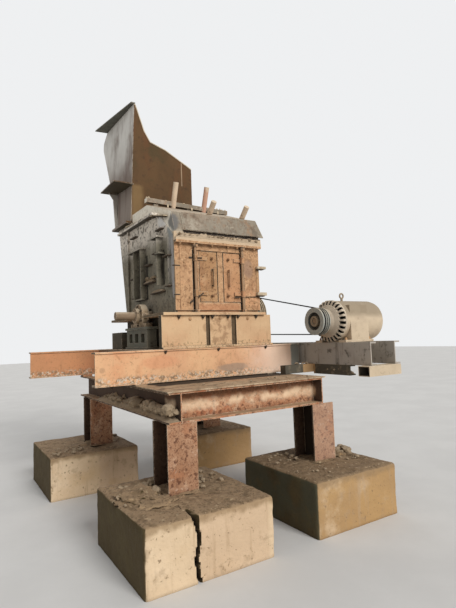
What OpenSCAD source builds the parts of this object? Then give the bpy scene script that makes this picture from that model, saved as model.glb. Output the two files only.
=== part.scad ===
// Impact crusher with its stand, plinths, belt drive and feed chute.
// Millimetres. +Z is up and the inspection doors face -Y. The origin is on the floor,
// below the middle of the whole plant.

/* [Plinths] */
// Width of three of the concrete plinths
plinth_w = 925; // [800:5:1000]
// Width of the front left plinth
plinth_left_w = 985; // [900:5:1000]
// Height of each concrete plinth
plinth_h = 425; // [300:5:500]
// Depth of each concrete plinth
plinth_d = 1000; // [800:5:1010]
// Y of the front faces of the rear plinths
plinth_rear_y = 585; // [550:5:590]
// Width of the crack in the front left plinth
crack_w = 26; // [12:1:32]

/* [Stand] */
// Width of the H posts across the plant
post_w = 245; // [220:1:250]
// Depth of the H posts
post_d = 275; // [240:1:280]
// Underside of the lower beams
lower_z = 935; // [900:1:960]
// Height of the lower beams
lower_h = 230; // [200:1:260]
// Flange width of the channels along the stand's sides
lower_flange_w = 105; // [90:1:120]
// Middle of the left posts, below the outer face of the left channel's web
left_post_x = -852; // [-860:1:-840]
// Middle of the right posts, below the outer face of the right channel's web
right_post_x = 558; // [550:1:565]
// Thickness of the deck plate on the front of the stand
deck_t = 10; // [6:1:14]
// Top of the upper beams, which carry the crusher and the motor
upper_z = 1472; // [1468:1:1474]
// Height of the upper beams
upper_h = 288; // [280:1:289]

/* [Crusher] */
// Middle of the crusher housing across the plant
housing_x = -50; // [-54:1:-46]
// Outer width of the housing
housing_w = 964; // [960:2:970]
// Outer face of the front wall
front_y = -450; // [-455:1:-445]
// Top of the base flange, where the housing walls start
flange_z = 1805; // [1803:1:1807]
// Thickness of the housing walls
wall_t = 25; // [20:1:30]
// Top of the side walls
wall_top_z = 2840; // [2830:1:2850]
// Height of the roof ridge
ridge_z = 3000; // [2990:1:3010]
// Middle of the two inspection doors across the plant
door_x = -30; // [-34:1:-26]
// Width of one inspection door
door_w = 194; // [190:1:196]
// Height of one inspection door
door_h = 488; // [480:1:490]
// Underside of the inspection doors
door_z = 1912; // [1908:1:1916]
// Radius of the adjusting rods that stand out of the roof
rod_r = 28; // [25:1:30]

/* [Rotor and drive] */
// Y of the rotor axis
rotor_y = 150; // [145:1:155]
// Height of the rotor axis
rotor_z = 1810; // [1806:1:1812]
// Outer radius of the blow bars
rotor_r = 290; // [260:1:295]
// Y of the motor axis
motor_y = -960; // [-965:1:-955]
// Height of the motor axis
motor_z = 1685; // [1684:1:1688]
// Radius of the motor's ring of air slots
motor_r = 208; // [204:1:210]
// Outer radius of the driven pulley
driven_r = 230; // [220:1:235]
// Outer radius of the motor pulley
drive_r = 134; // [130:1:136]
// Middle of the belt across the plant
belt_x = 734; // [732:1:736]

/* [Feed chute] */
// Left edge of the chute's front at its foot
chute_left_x = -520; // [-524:1:-516]
// Right face of the chute
chute_x1 = 290; // [286:1:294]
// Front face of the chute
chute_front_y = 700; // [695:1:705]
// Top of the chute at its front left corner
chute_top_z = 4380; // [4350:1:4400]
// Thickness of the chute sheets
sheet_t = 12; // [8:1:14]

/* [Hidden] */
$fn = 48;

concrete = [0.72, 0.62, 0.48];
rust = [0.50, 0.30, 0.20];
dusty_steel = [0.72, 0.50, 0.34];
dark_steel = [0.30, 0.30, 0.28];
dusty_cream = [0.80, 0.70, 0.55];
bright_steel = [0.60, 0.60, 0.58];
rubber = [0.08, 0.08, 0.08];

// Plinths: middles across the plant, front faces, edge radius, top chamfer and crack
front_left_x = -840;
front_right_x = 525;
rear_left_x = -988;
plinth_front_y = -1600;
plinth_r = 55;
plinth_chamfer = 38;
crack_d = 110;
crack_x = -970;
crack_sway = 22;

// Stand: section thicknesses, post rows and beam ends
web_t = 10;
flange_t = 14;
lower_front_end = -1190;
lower_rear_end = 1320;
post_front_y = lower_front_end + 5 + post_d / 2;
post_rear_y = 985;
cross_front_y = -1075;
cross_rear_y = 985;
cross_w = 230;
lower_top_z = lower_z + lower_h;
deck_z = lower_top_z + deck_t;
deck_x0 = left_post_x - 118;
deck_x1 = right_post_x + 33;
deck_y0 = -1200;
deck_y1 = -390;
packing_t = upper_z - upper_h - deck_z;

// Upper beams
upper_front_y = -520;
upper_rear_y = 1190;
upper_depth = 110;
upper_lip = 12;
half_x = 1530;
upper_front_x0 = -1300;
upper_front_x1 = 885;
upper_side_w = 220;
upper_left_x = -660;
upper_right_x = 560;

// Motor frame
motor_beam_h = 215;
motor_beam_flange = 75;
motor_beam_front = -1460;
motor_beam_left_x = 912;
motor_beam_right_x = 1240;
motor_beam_z = upper_z - motor_beam_h;
cross_box_h = 92;
cross_box_d = 130;
cross_box_wall = 8;
cross_box_y = -1500;
cross_box_x0 = 838;
cross_box_x1 = 1268;
outrigger_d = 80;
outrigger_front_y = -700;
outrigger_rear_y = 560;
hanger_len = 500;
hanger_h = 100;

// Housing and base
housing_x0 = housing_x - housing_w / 2;
housing_x1 = housing_x + housing_w / 2;
inner_w = housing_w - 2 * wall_t;
base_x0 = -696;
base_x1 = 526;
base_slot_left_x = -218;
base_slot_right_x = 75;
base_slot_left_w = 44;
base_slot_right_w = 56;
base_front_y = -500;
base_wing_d = 60;
base_foot_t = 18;
base_flange_t = 25;
base_flange_x0 = -686;
base_flange_x1 = housing_x1 + 18;
base_flange_front_y = -528;
base_box_y = 520;
base_box_z = 1655;
rear_low_y = 845;
base_rear_y = rear_low_y;
rear_high_y = 1060;
neck_z = 2905;
neck_y = 640;
slope_y = -93;
slope_z = 2530;
rear_wall_t = 20;
rear_lean_y = 14;
shaft_gap = 72;
top_flange_z = 2466;
top_flange_t = 22;
top_flange_y = -505;

// Hood
band_low_z = 2600;
band_high_y = -390;
band_high_z = 2784;
band_x0 = -430;
band_x1 = 508;
band_t = 14;
band_gap = 28;
ridge_y = 200;
hood_t = 16;
gable_t = 14;
hood_x0 = housing_x0 + 11;
hood_x1 = 452;
ridge_bar_x0 = -530;
ridge_bar_x1 = 476;
ridge_bar_h = 46;
ridge_bar_tilt = 1.7;

// Doors: the rods that they turn on and the clearances round each door
rod_left_offset = 290;
rod_right_offset = 248;
rod_room = 27;
hinge_rod_r = 12;
hinge_rod_y = front_y - 26;
rod_left_x = door_x - rod_left_offset;
rod_right_x = door_x + rod_right_offset;
door_t = 15;
door_gap = 6;
door_free_gap = 10;
mullion_w = 58;
knuckle_r = 21;
knuckle_h = 62;
knuckle_low_z = 1960;
knuckle_high_z = 2300;
running_play = 0.05;

// Bearings and shaft
// (distances along X are counted outwards from the middle of the housing)
bearing_in = 550;
bearing_body_out = 616;
bearing_out = 656;
bearing_r = 119;
hub_r = 76;
pedestal_in = 550;
pedestal_out = 665;
pedestal_top_z = 1690;
pedestal_y0 = -197;
pedestal_len = 600;
pedestal_hole_w = 92;
pedestal_hole_pitch = 165;
stub_r = 41;
journal_r = 55;
shaft_left_end = -905;
shaft_right_end = 845;
drum_r = 205;
rotor_gap = 28;
bar_count = 4;
bar_t = 58;

// Pulleys and belt
pulley_w = 92;
pulley_x0 = 708;
groove_pitch = 24;
groove_count = 3;
belt_w = 15;
groove_low_w = 18;
groove_top_w = 22;
belt_h = 11;
belt_play = 0.6;
belt_in = 12;
drive_pitch_r = drive_r - belt_in;
driven_pitch_r = driven_r - belt_in;
belt_dy = rotor_y - motor_y;
belt_dz = rotor_z - motor_z;
belt_span = sqrt(belt_dy * belt_dy + belt_dz * belt_dz);
belt_lean = atan2(belt_dz, belt_dy);
belt_spread = asin((driven_pitch_r - drive_pitch_r) / belt_span);

// Motor
motor_nose_x = 808;
motor_ring_x = 898;
motor_frame_x = 948;
motor_round_x = 1440;
motor_end_x = half_x;
motor_foot_x0 = 912;
motor_foot_x1 = 1300;
motor_foot_t = 22;
motor_shaft_r = 32;
slot_count = 26;
motor_cover_x0 = 1005;
motor_cover_x1 = 1250;

// Chute: its left side leans in towards the top and flares towards the back
chute_lean = 2.77;
chute_flare = 5.3;
chute_foot_z = 2930;
chute_foot_y1 = 1140;
chute_knee_y = 1240;
chute_knee_z = 3350;
chute_bend_y = 1465;
chute_bend_z = 3835;
chute_back_y = 1597;
chute_back_z = 4110;
chute_back_top_z = 4210;
chute_corner_y = 1495;
chute_corner_z = 4322;
chute_cut_z = 3692;
foot_x0 = -600;
foot_x1 = 530;
shelf_z = 3370;
shelf_x0 = -735;
shelf_y0 = 645;
shelf_y1 = 1140;

// A slab between two opposite corners
module slab(x0, x1, y0, y1, z0, z1) {
    translate([x0, y0, z0]) cube([x1 - x0, y1 - y0, z1 - z0]);
}

// An outline drawn in Y and Z, made x1 - x0 thick along X
module side_profile(x0, x1) {
    translate([x0, 0, 0]) rotate([90, 0, 90]) linear_extrude(x1 - x0) children();
}

// An outline drawn in X and Z, made y1 - y0 thick along Y
module front_profile(y0, y1) {
    translate([0, y1, 0]) rotate([90, 0, 0]) linear_extrude(y1 - y0) children();
}

// A round bar along X between x0 and x1
module x_bar(x0, x1, y, z, r) {
    translate([x0, y, z]) rotate([0, 90, 0]) cylinder(r = r, h = x1 - x0);
}

// A turned shape about an axis along X; the outline holds radius and distance along X
module x_turned(y, z) {
    translate([0, y, z]) rotate([0, 90, 0]) rotate_extrude() children();
}

// H section standing on its lower flange, drawn about its middle
module h_outline(w, h) {
    translate([-w / 2, 0]) square([w, flange_t]);
    translate([-w / 2, h - flange_t]) square([w, flange_t]);
    translate([-web_t / 2, 0]) square([web_t, h]);
}

// Channel outline with its web at the left and its toes to the right
module channel_outline(w, h) {
    square([web_t, h]);
    square([w, flange_t]);
    translate([0, h - flange_t]) square([w, flange_t]);
}

// H beam along Y
module y_beam(x, y0, y1, z, w, h) {
    translate([x, y1, z]) rotate([90, 0, 0]) linear_extrude(y1 - y0) h_outline(w, h);
}

// Trapezoid that narrows by the chamfer at both ends
module chamfered_strip(length) {
    polygon([[0, 0], [length, 0], [length - plinth_chamfer, plinth_chamfer],
             [plinth_chamfer, plinth_chamfer]]);
}

// Block with round upright edges and a chamfered top
module plinth(x, y, w) {
    straight_w = w - 2 * plinth_r;
    straight_d = plinth_d - 2 * plinth_r;
    low_h = plinth_h - plinth_chamfer;
    translate([x - w / 2, y, 0]) {
        translate([plinth_r, 0, 0]) cube([straight_w, plinth_d, low_h]);
        translate([0, plinth_r, 0]) cube([w, straight_d, low_h]);
        translate([plinth_r, 0, low_h]) rotate([90, 0, 90])
            linear_extrude(straight_w) chamfered_strip(plinth_d);
        translate([0, plinth_d - plinth_r, low_h]) rotate([90, 0, 0])
            linear_extrude(straight_d) chamfered_strip(w);
        for (cx = [plinth_r, w - plinth_r])
            for (cy = [plinth_r, plinth_d - plinth_r])
                translate([cx, cy, 0]) {
                    cylinder(r = plinth_r, h = low_h);
                    translate([0, 0, low_h])
                        cylinder(r1 = plinth_r, r2 = plinth_r - plinth_chamfer, h = plinth_chamfer);
                }
    }
}

// Crack that wanders from side to side on its way down the front face
module crack() {
    low = plinth_h * 0.28;
    high = plinth_h * 0.7;
    front_profile(plinth_front_y - 1, plinth_front_y + crack_d) polygon([
        [crack_x - crack_sway, plinth_h + 1], [crack_x, high], [crack_x - crack_sway / 2, low],
        [crack_x + crack_sway / 2, -1], [crack_x + crack_sway, -1], [crack_x + crack_sway / 2, low],
        [crack_x + crack_w, high], [crack_x - crack_sway + crack_w, plinth_h + 1]]);
}

module plinth_front_left() {
    color(concrete) difference() {
        plinth(front_left_x, plinth_front_y, plinth_left_w);
        crack();
    }
}

module plinth_front_right() {
    color(concrete) plinth(front_right_x, plinth_front_y, plinth_w);
}

module plinth_rear_left() {
    color(concrete) plinth(rear_left_x, plinth_rear_y, plinth_w);
}

module plinth_rear_right() {
    color(concrete) plinth(front_right_x, plinth_rear_y, plinth_w);
}

// H post with its flanges facing front and back
module post(x, y) {
    color(rust) translate([x, y, plinth_h]) linear_extrude(lower_z - plinth_h)
        translate([0, -post_d / 2]) h_outline(post_w, post_d);
}

module post_front_left() { post(left_post_x, post_front_y); }
module post_front_right() { post(right_post_x, post_front_y); }
module post_rear_left() { post(left_post_x, post_rear_y); }
module post_rear_right() { post(right_post_x, post_rear_y); }

// Channel along the side of the stand; its web stands at x and its toes point to the left
module lower_beam(x) {
    color(rust) translate([x, lower_rear_end, lower_z]) rotate([90, 0, 0])
        linear_extrude(lower_rear_end - lower_front_end)
            mirror([1, 0]) channel_outline(lower_flange_w, lower_h);
}

module lower_beam_left() { lower_beam(left_post_x); }
module lower_beam_right() { lower_beam(right_post_x); }

// Cross beam between the webs of the channels; its flanges stop at the right channel's toes
module lower_cross(y) {
    half = cross_w / 2;
    color(rust) {
        slab(left_post_x, right_post_x - web_t, y - web_t / 2, y + web_t / 2,
             lower_z + flange_t, lower_top_z - flange_t);
        for (z = [lower_z, lower_top_z - flange_t])
            slab(left_post_x, right_post_x - lower_flange_w, y - half, y + half, z, z + flange_t);
    }
}

module lower_beam_front() { lower_cross(cross_front_y); }
module lower_beam_rear() { lower_cross(cross_rear_y); }

// Deck plate, with the packing plates that hold the upper front beam just clear of it
module deck_plate() {
    color(dusty_steel) {
        slab(deck_x0, deck_x1, deck_y0, deck_y1, lower_top_z, deck_z);
        for (x = [left_post_x, right_post_x])
            slab(x - lower_flange_w, x, upper_front_y, deck_y1, deck_z, deck_z + packing_t);
    }
}

// Cross beam of the upper frame: its web is set back a lip's width from the flange edges
module upper_cross(x0, x1, y) {
    z0 = upper_z - upper_h;
    color(dusty_steel) {
        slab(x0, x1, y, y + upper_depth, z0, z0 + flange_t);
        slab(x0, x1, y, y + upper_depth, upper_z - flange_t, upper_z);
        slab(x0, x1, y + upper_lip, y + upper_lip + web_t, z0 + flange_t, upper_z - flange_t);
    }
}

module upper_beam_front() { upper_cross(upper_front_x0, upper_front_x1, upper_front_y); }

// The rear cross beam stands on packing on the lower beams
module upper_beam_rear() {
    upper_cross(-half_x, cross_box_x1 + 45, upper_rear_y);
    color(dusty_steel) for (x = [left_post_x, right_post_x])
        slab(x - lower_flange_w, x, upper_rear_y, upper_rear_y + upper_depth, lower_top_z,
             upper_z - upper_h);
}

module upper_side(x) {
    y0 = upper_front_y + upper_depth;
    color(dusty_steel) y_beam(x, y0, upper_rear_y, upper_z - upper_h, upper_side_w, upper_h);
}

module upper_beam_left() { upper_side(upper_left_x); }
module upper_beam_right() { upper_side(upper_right_x); }

module motor_beam(x) {
    color(dark_steel) translate([x, upper_rear_y, motor_beam_z]) rotate([90, 0, 0])
        linear_extrude(upper_rear_y - motor_beam_front)
            channel_outline(motor_beam_flange, motor_beam_h);
}

module motor_beam_left() { motor_beam(motor_beam_left_x); }
module motor_beam_right() { motor_beam(motor_beam_right_x); }

// Hollow front crosspiece, two outriggers from the stand, and the channel under the left beam
module motor_frame_crosspieces() {
    z0 = motor_beam_z - cross_box_h;
    color(dusty_cream) difference() {
        slab(cross_box_x0, cross_box_x1, cross_box_y, cross_box_y + cross_box_d, z0, motor_beam_z);
        slab(cross_box_x0 - 1, cross_box_x1 + 1, cross_box_y + cross_box_wall,
             cross_box_y + cross_box_d - cross_box_wall, z0 + cross_box_wall,
             motor_beam_z - cross_box_wall);
    }
    color(dark_steel) {
        slab(right_post_x - 20, cross_box_x1, outrigger_front_y, outrigger_front_y + outrigger_d,
             deck_z, motor_beam_z);
        slab(upper_right_x + upper_side_w / 2, cross_box_x1, outrigger_rear_y,
             outrigger_rear_y + outrigger_d, upper_z - upper_h, motor_beam_z);
        translate([motor_beam_left_x, outrigger_front_y, motor_beam_z - hanger_h])
            rotate([90, 0, 0]) linear_extrude(hanger_len)
                channel_outline(motor_beam_flange, hanger_h);
    }
}

// Opening for the shaft, cut through walls, base and flange
module shaft_way() {
    x_bar(base_flange_x0 - 10, base_flange_x1 + 10, rotor_y, rotor_z, shaft_gap);
}

// Base box: foot plate, side webs under the housing walls, a front with two slots in it,
// the side boxes at the rear and the flange that the housing stands on
module crusher_base() {
    z0 = upper_z + base_foot_t;
    z1 = flange_z - base_flange_t;
    web_y = base_front_y + base_wing_d;
    foot_w = 45;
    room = 71;
    color(dusty_steel) difference() {
        union() {
            difference() {
                slab(base_x0, base_x1, base_front_y, web_y, z0, z1);
                slab(base_slot_left_x - base_slot_left_w / 2, base_slot_left_x + base_slot_left_w / 2,
                     base_front_y - 1, web_y, z0 - 1, z1 + 1);
                slab(base_slot_right_x - base_slot_right_w / 2,
                     base_slot_right_x + base_slot_right_w / 2, base_front_y - 1, web_y, z0 - 1, z1 + 1);
            }
            slab(base_x0 + 15, base_x1 - 15, web_y, web_y + 15, upper_z, z1);
            slab(base_x0, base_x1, base_flange_front_y, web_y, upper_z, z0);
            for (x = [housing_x0, housing_x1 - wall_t])
                slab(x, x + wall_t, web_y, base_rear_y, upper_z, z1);
            for (x = [housing_x0 - foot_w, housing_x1])
                slab(x, x + foot_w, web_y, base_rear_y, upper_z, z0);
            slab(housing_x0, housing_x1, base_rear_y - rear_wall_t, base_rear_y, upper_z, z1);
            for (x = [housing_x - pedestal_out, housing_x1])
                slab(x, x + pedestal_out - housing_w / 2, base_box_y, base_rear_y, upper_z, base_box_z);
            difference() {
                slab(base_flange_x0, base_flange_x1, base_flange_front_y, base_rear_y + 110, z1, flange_z);
                slab(housing_x0 + wall_t, housing_x1 - wall_t, web_y + 15, base_rear_y - rear_wall_t,
                     z1 - 1, flange_z + 1);
                slab(base_flange_x0 - 1, housing_x - bearing_in + 15, rotor_y - bearing_r - room,
                     rotor_y + bearing_r + room, z1 - 1, flange_z + 1);
            }
        }
        shaft_way();
    }
}

// Outline of a side wall: front edge, rising front corner, top, raised neck and leaning back edge
module side_outline() {
    polygon([[front_y, flange_z], [rear_low_y, flange_z], [rear_high_y + rear_lean_y, neck_z],
             [neck_y, neck_z], [neck_y, wall_top_z], [slope_y, wall_top_z], [front_y, slope_z]]);
}

// Upright rib that stands off the outer face of a side wall
module rib(y, z0, z1, proud) {
    rib_t = 14;
    slab(-proud, 0, y - rib_t / 2, y + rib_t / 2, z0, z1);
}

// Cap plate across the end of a rib or a pair of ribs
module rib_cap(y0, y1, z, proud) {
    cap_t = 16;
    slab(-proud, 0, y0, y1, z, z + cap_t);
}

// Side wall with its ribs and top flange; side is 1 on the left and -1 on the right
module side_wall(side) {
    x_out = side > 0 ? housing_x0 : housing_x1;
    flange_w = 62;
    rib_d = 62;
    cap_d = 74;
    seam_d = 22;
    color(dark_steel) difference() {
        translate([x_out, 0, 0]) mirror([side > 0 ? 0 : 1, 0, 0]) {
            side_profile(0, wall_t) side_outline();
            for (y = [248, 455]) rib(y, 2000, 2522, rib_d);
            rib_cap(216, 603, 2522, cap_d);
            rib_cap(222, 480, 1984, rib_d);
            rib(-185, 2091, 2560, rib_d);
            rib(-360, 2086, 2530, seam_d);
            rib_cap(-226, -48, 2560, cap_d);
            rib_cap(-258, -165, 2392, cap_d);
            slab(-flange_w, 0, slope_y, neck_y + 320, wall_top_z - 25, wall_top_z);
            slab(-seam_d, 0, 720, 745, flange_z, wall_top_z - 25);
        }
        shaft_way();
    }
}

module side_wall_left() { side_wall(1); }
module side_wall_right() { side_wall(-1); }

// Front wall with two door openings, a lintel, a sill, side strips, the rods' lugs and top flange
module front_wall() {
    x0 = housing_x0 + wall_t;
    x1 = housing_x1 - wall_t;
    inner_x = mullion_w / 2;
    outer_x = inner_x + door_free_gap + door_w + door_gap;
    strip_t = 12;
    strip_y = front_y - strip_t;
    strip_z0 = flange_z + 24;
    strip_z1 = door_z + door_h + door_gap + 4;
    lug_w = 44;
    lug_t = 22;
    color(dusty_steel) {
        difference() {
            slab(x0, x1, front_y, front_y + wall_t, flange_z, top_flange_z);
            for (s = [-1, 1])
                slab(door_x + (s > 0 ? inner_x : -outer_x), door_x + (s > 0 ? outer_x : -inner_x),
                     front_y - 1, front_y + wall_t + 1, door_z - door_gap, door_z + door_h + door_gap);
        }
        slab(housing_x0, housing_x1, strip_y, front_y, strip_z1, top_flange_z);
        slab(rod_left_x + rod_room, rod_right_x - rod_room, strip_y, front_y, strip_z0,
             door_z - door_gap - 8);
        slab(housing_x0, rod_left_x - rod_room, strip_y, front_y, strip_z0, strip_z1);
        slab(rod_right_x + rod_room, housing_x1, strip_y, front_y, strip_z0, strip_z1);
        slab(housing_x0, housing_x1 + 10, top_flange_y, front_y, top_flange_z,
             top_flange_z + top_flange_t);
        for (x = [rod_left_x, rod_right_x])
            for (z = [flange_z + 6, top_flange_z - 32]) difference() {
                slab(x - lug_w / 2, x + lug_w / 2, hinge_rod_y - lug_t, front_y, z, z + lug_t);
                translate([x, hinge_rod_y, z - 1]) cylinder(r = hinge_rod_r, h = lug_t + 2);
            }
    }
}

module hinge_rods() {
    z0 = flange_z + 2;
    color(dark_steel) for (x = [rod_left_x, rod_right_x])
        translate([x, hinge_rod_y, z0]) cylinder(r = hinge_rod_r, h = top_flange_z - 4 - z0);
}

// Door leaf with a long handle, two knuckles on the hinge rod and their straps.
// Drawn for the right side, with X counted from the middle between the doors.
module door_leaf(rod_offset) {
    x0 = mullion_w / 2 + door_free_gap;
    x1 = x0 + door_w;
    handle_x = 93;
    handle_z0 = 2058;
    handle_z1 = 2232;
    grip_r = 9;
    grip_y = front_y - 34;
    difference() {
        union() {
            slab(x0, x1, front_y, front_y + door_t, door_z, door_z + door_h);
            for (z = [knuckle_low_z, knuckle_high_z]) {
                translate([rod_offset, hinge_rod_y, z]) cylinder(r = knuckle_r, h = knuckle_h);
                slab(x1 - 78, rod_offset, front_y - 14, front_y, z + 14, z + knuckle_h - 14);
            }
        }
        for (z = [knuckle_low_z, knuckle_high_z])
            translate([rod_offset, hinge_rod_y, z - 1])
                cylinder(r = hinge_rod_r + running_play, h = knuckle_h + 2);
    }
    translate([handle_x, grip_y, handle_z0]) cylinder(r = grip_r, h = handle_z1 - handle_z0);
    for (z = [handle_z0, handle_z1 - 2 * grip_r])
        slab(handle_x - grip_r, handle_x + grip_r, grip_y, front_y, z, z + 2 * grip_r);
}

module door_right() {
    color(dusty_steel) translate([door_x, 0, 0]) door_leaf(rod_right_offset);
}

module door_left() {
    color(dusty_steel) translate([door_x, 0, 0]) mirror([1, 0, 0]) door_leaf(rod_left_offset);
}

// Leaning rear wall between the side walls
module rear_wall() {
    lean = (rear_high_y + rear_lean_y - rear_low_y) / (neck_z - flange_z);
    color(dark_steel) side_profile(housing_x - inner_w / 2, housing_x + inner_w / 2)
        polygon([[rear_low_y - rear_wall_t, flange_z], [rear_low_y, flange_z],
                 [rear_low_y + lean * (neck_z - flange_z), neck_z],
                 [rear_low_y + lean * (neck_z - flange_z) - rear_wall_t, neck_z]]);
}

// Hood: flange on the front wall's, steep front with its band, sloping roof, flat back, the two
// gables and the ridge bar with the packing under it
module hood() {
    flange_top_z = top_flange_z + 2 * top_flange_t;
    color(dusty_steel) difference() {
        union() {
            slab(housing_x0, housing_x1 + 10, top_flange_y, front_y,
                 top_flange_z + top_flange_t, flange_top_z);
            slab(housing_x0 + wall_t, housing_x1 - wall_t, front_y, front_y + hood_t,
                 top_flange_z + top_flange_t, band_low_z);
            slab(housing_x0, hood_x1 + 16, top_flange_y + 40, front_y, flange_top_z,
                 band_low_z - band_gap);
            side_profile(hood_x0, hood_x1) polygon([
                [front_y, band_low_z], [band_high_y, band_high_z], [ridge_y, ridge_z], [neck_y, ridge_z],
                [neck_y, wall_top_z], [neck_y - hood_t, wall_top_z], [neck_y - hood_t, ridge_z - hood_t],
                [ridge_y, ridge_z - hood_t], [band_high_y + hood_t, band_high_z - hood_t],
                [front_y + hood_t, band_low_z]]);
            side_profile(hood_x0, hood_x0 + gable_t) gable_outline();
            side_profile(housing_x1 - gable_t, hood_x1) gable_outline();
            front_band();
            ridge_bar();
        }
        rod_set();
    }
}

// Plate over the steep front, wider at its lower edge, with an open gap below that edge
module front_band() {
    low_z = band_low_z - 6;
    intersection() {
        side_profile(band_x0, band_x1) polygon([
            [front_y - band_t, low_z], [front_y, low_z],
            [band_high_y, band_high_z], [band_high_y - band_t, band_high_z + 3]]);
        front_profile(2 * front_y, 0) polygon([
            [band_x0, low_z], [band_x1, low_z], [hood_x1 + 2, band_high_z + 4],
            [band_x0, band_high_z + 4]]);
    }
}

module gable_outline() {
    polygon([[front_y, slope_z], [front_y, band_low_z], [band_high_y, band_high_z],
             [ridge_y, ridge_z], [neck_y, ridge_z], [neck_y, wall_top_z], [slope_y, wall_top_z]]);
}

// Flat bar along the ridge, a little higher at its left end, on three packing pieces
module ridge_bar() {
    pack_w = 46;
    length = ridge_bar_x1 - ridge_bar_x0;
    translate([ridge_bar_x1, 0, ridge_z + 1]) rotate([0, ridge_bar_tilt, 0])
        slab(-length, 0, ridge_y - 22, ridge_y + 46, 0, ridge_bar_h);
    for (x = [-440, -40, 330])
        slab(x, x + pack_w, ridge_y - 6, ridge_y + 40, ridge_z - 1, ridge_z + ridge_bar_h / 2);
}

// Rod through the roof: foot is its point on the roof, lean tips it to the front
module adjusting_rod(x, y, z, lean, above, below) {
    translate([x, y, z]) rotate([lean, 0, 0]) translate([0, 0, -below])
        cylinder(r = rod_r, h = above + below);
}

module rod_set() {
    front_rod_y = -300;
    front_rod_z = 2817;
    front_lean = 45;
    rear_rod_y = 205;
    rear_lean = 20;
    adjusting_rod(-51, front_rod_y, front_rod_z, front_lean, 160, 480);
    adjusting_rod(350, front_rod_y, front_rod_z, front_lean, 155, 480);
    adjusting_rod(-214, rear_rod_y, ridge_z, rear_lean, 285, 565);
    adjusting_rod(168, rear_rod_y, ridge_z, rear_lean, 285, 565);
}

module adjusting_rods() {
    color(dusty_cream) rod_set();
}

// Two impact aprons hung on pivot bars between the side walls
module impact_aprons() {
    x0 = housing_x - inner_w / 2;
    x1 = housing_x + inner_w / 2;
    play = 12;
    pivot_r = 30;
    front_pivot_y = 130;
    front_pivot_z = 2690;
    rear_pivot_y = 590;
    rear_pivot_z = 2760;
    color(dark_steel) difference() {
        union() {
            x_bar(x0, x1, front_pivot_y, front_pivot_z, pivot_r);
            side_profile(x0 + play, x1 - play)
                polygon([[front_pivot_y - pivot_r, front_pivot_z], [-170, 2040], [-120, 1995],
                         [-75, 2060], [front_pivot_y + pivot_r, front_pivot_z]]);
            x_bar(x0, x1, rear_pivot_y, rear_pivot_z, pivot_r);
            side_profile(x0 + play, x1 - play)
                polygon([[rear_pivot_y - pivot_r, rear_pivot_z], [230, 2240], [275, 2195],
                         [330, 2250], [rear_pivot_y + pivot_r, rear_pivot_z]]);
        }
        rod_set();
    }
}

// Side by side copies left and right of the housing; side is 1 on the left and -1 on the right
module beside_housing(side) {
    translate([housing_x, 0, 0]) mirror([side > 0 ? 0 : 1, 0, 0]) children();
}

// Bearing stand with three openings through it
module pedestal() {
    y1 = pedestal_y0 + pedestal_len;
    first_y = pedestal_y0 + pedestal_len / 2 - pedestal_hole_pitch - pedestal_hole_w / 2;
    color(dark_steel) difference() {
        union() {
            slab(-pedestal_out + 10, -pedestal_in - 10, pedestal_y0 + 20, y1 - 20,
                 upper_z, pedestal_top_z);
            slab(-pedestal_out, -pedestal_in, pedestal_y0, y1, upper_z, upper_z + 22);
            slab(-pedestal_out, -pedestal_in, pedestal_y0, y1, pedestal_top_z - 22, pedestal_top_z);
        }
        for (i = [0:2])
            slab(-pedestal_out - 1, -pedestal_in + 1, first_y + i * pedestal_hole_pitch,
                 first_y + i * pedestal_hole_pitch + pedestal_hole_w,
                 upper_z + 65, pedestal_top_z - 62);
    }
}

module pedestal_left() { beside_housing(1) pedestal(); }
module pedestal_right() { beside_housing(-1) pedestal(); }

// Split bearing block: foot, shoulders, round body, side lugs and the smaller hub cover outside
module bearing() {
    foot_len = 420;
    foot_t = 42;
    lug = 34;
    color(dusty_cream) difference() {
        union() {
            slab(-bearing_body_out, -bearing_in, rotor_y - foot_len / 2, rotor_y + foot_len / 2,
                 pedestal_top_z, pedestal_top_z + foot_t);
            slab(-bearing_body_out, -bearing_in, rotor_y - bearing_r, rotor_y + bearing_r,
                 pedestal_top_z, rotor_z);
            x_bar(-bearing_body_out, -bearing_in, rotor_y, rotor_z, bearing_r);
            x_bar(-bearing_out, -bearing_in, rotor_y, rotor_z, hub_r);
            slab(-bearing_body_out + 12, -bearing_in - 12, rotor_y - bearing_r - lug,
                 rotor_y + bearing_r + lug, rotor_z - 22, rotor_z + 22);
        }
        x_bar(-bearing_out - 1, -bearing_in + 1, rotor_y, rotor_z, journal_r + running_play);
    }
}

module bearing_left() { beside_housing(1) bearing(); }
module bearing_right() { beside_housing(-1) bearing(); }

module rotor_shaft() {
    journal_end = bearing_out + 4;
    color(bright_steel) {
        x_bar(shaft_left_end, shaft_right_end, rotor_y, rotor_z, stub_r);
        x_bar(housing_x - journal_end, housing_x + journal_end, rotor_y, rotor_z, journal_r);
    }
}

// Rotor drum with its blow bars
module rotor() {
    x0 = housing_x - inner_w / 2 + rotor_gap;
    x1 = housing_x + inner_w / 2 - rotor_gap;
    root_r = 120;
    color(dark_steel) difference() {
        union() {
            x_bar(x0, x1, rotor_y, rotor_z, drum_r);
            for (i = [0:bar_count - 1])
                translate([0, rotor_y, rotor_z]) rotate([i * 360 / bar_count + 20, 0, 0])
                    slab(x0, x1, -bar_t / 2, bar_t / 2, root_r, rotor_r);
        }
        x_bar(x0 - 1, x1 + 1, rotor_y, rotor_z, journal_r);
    }
}

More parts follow.
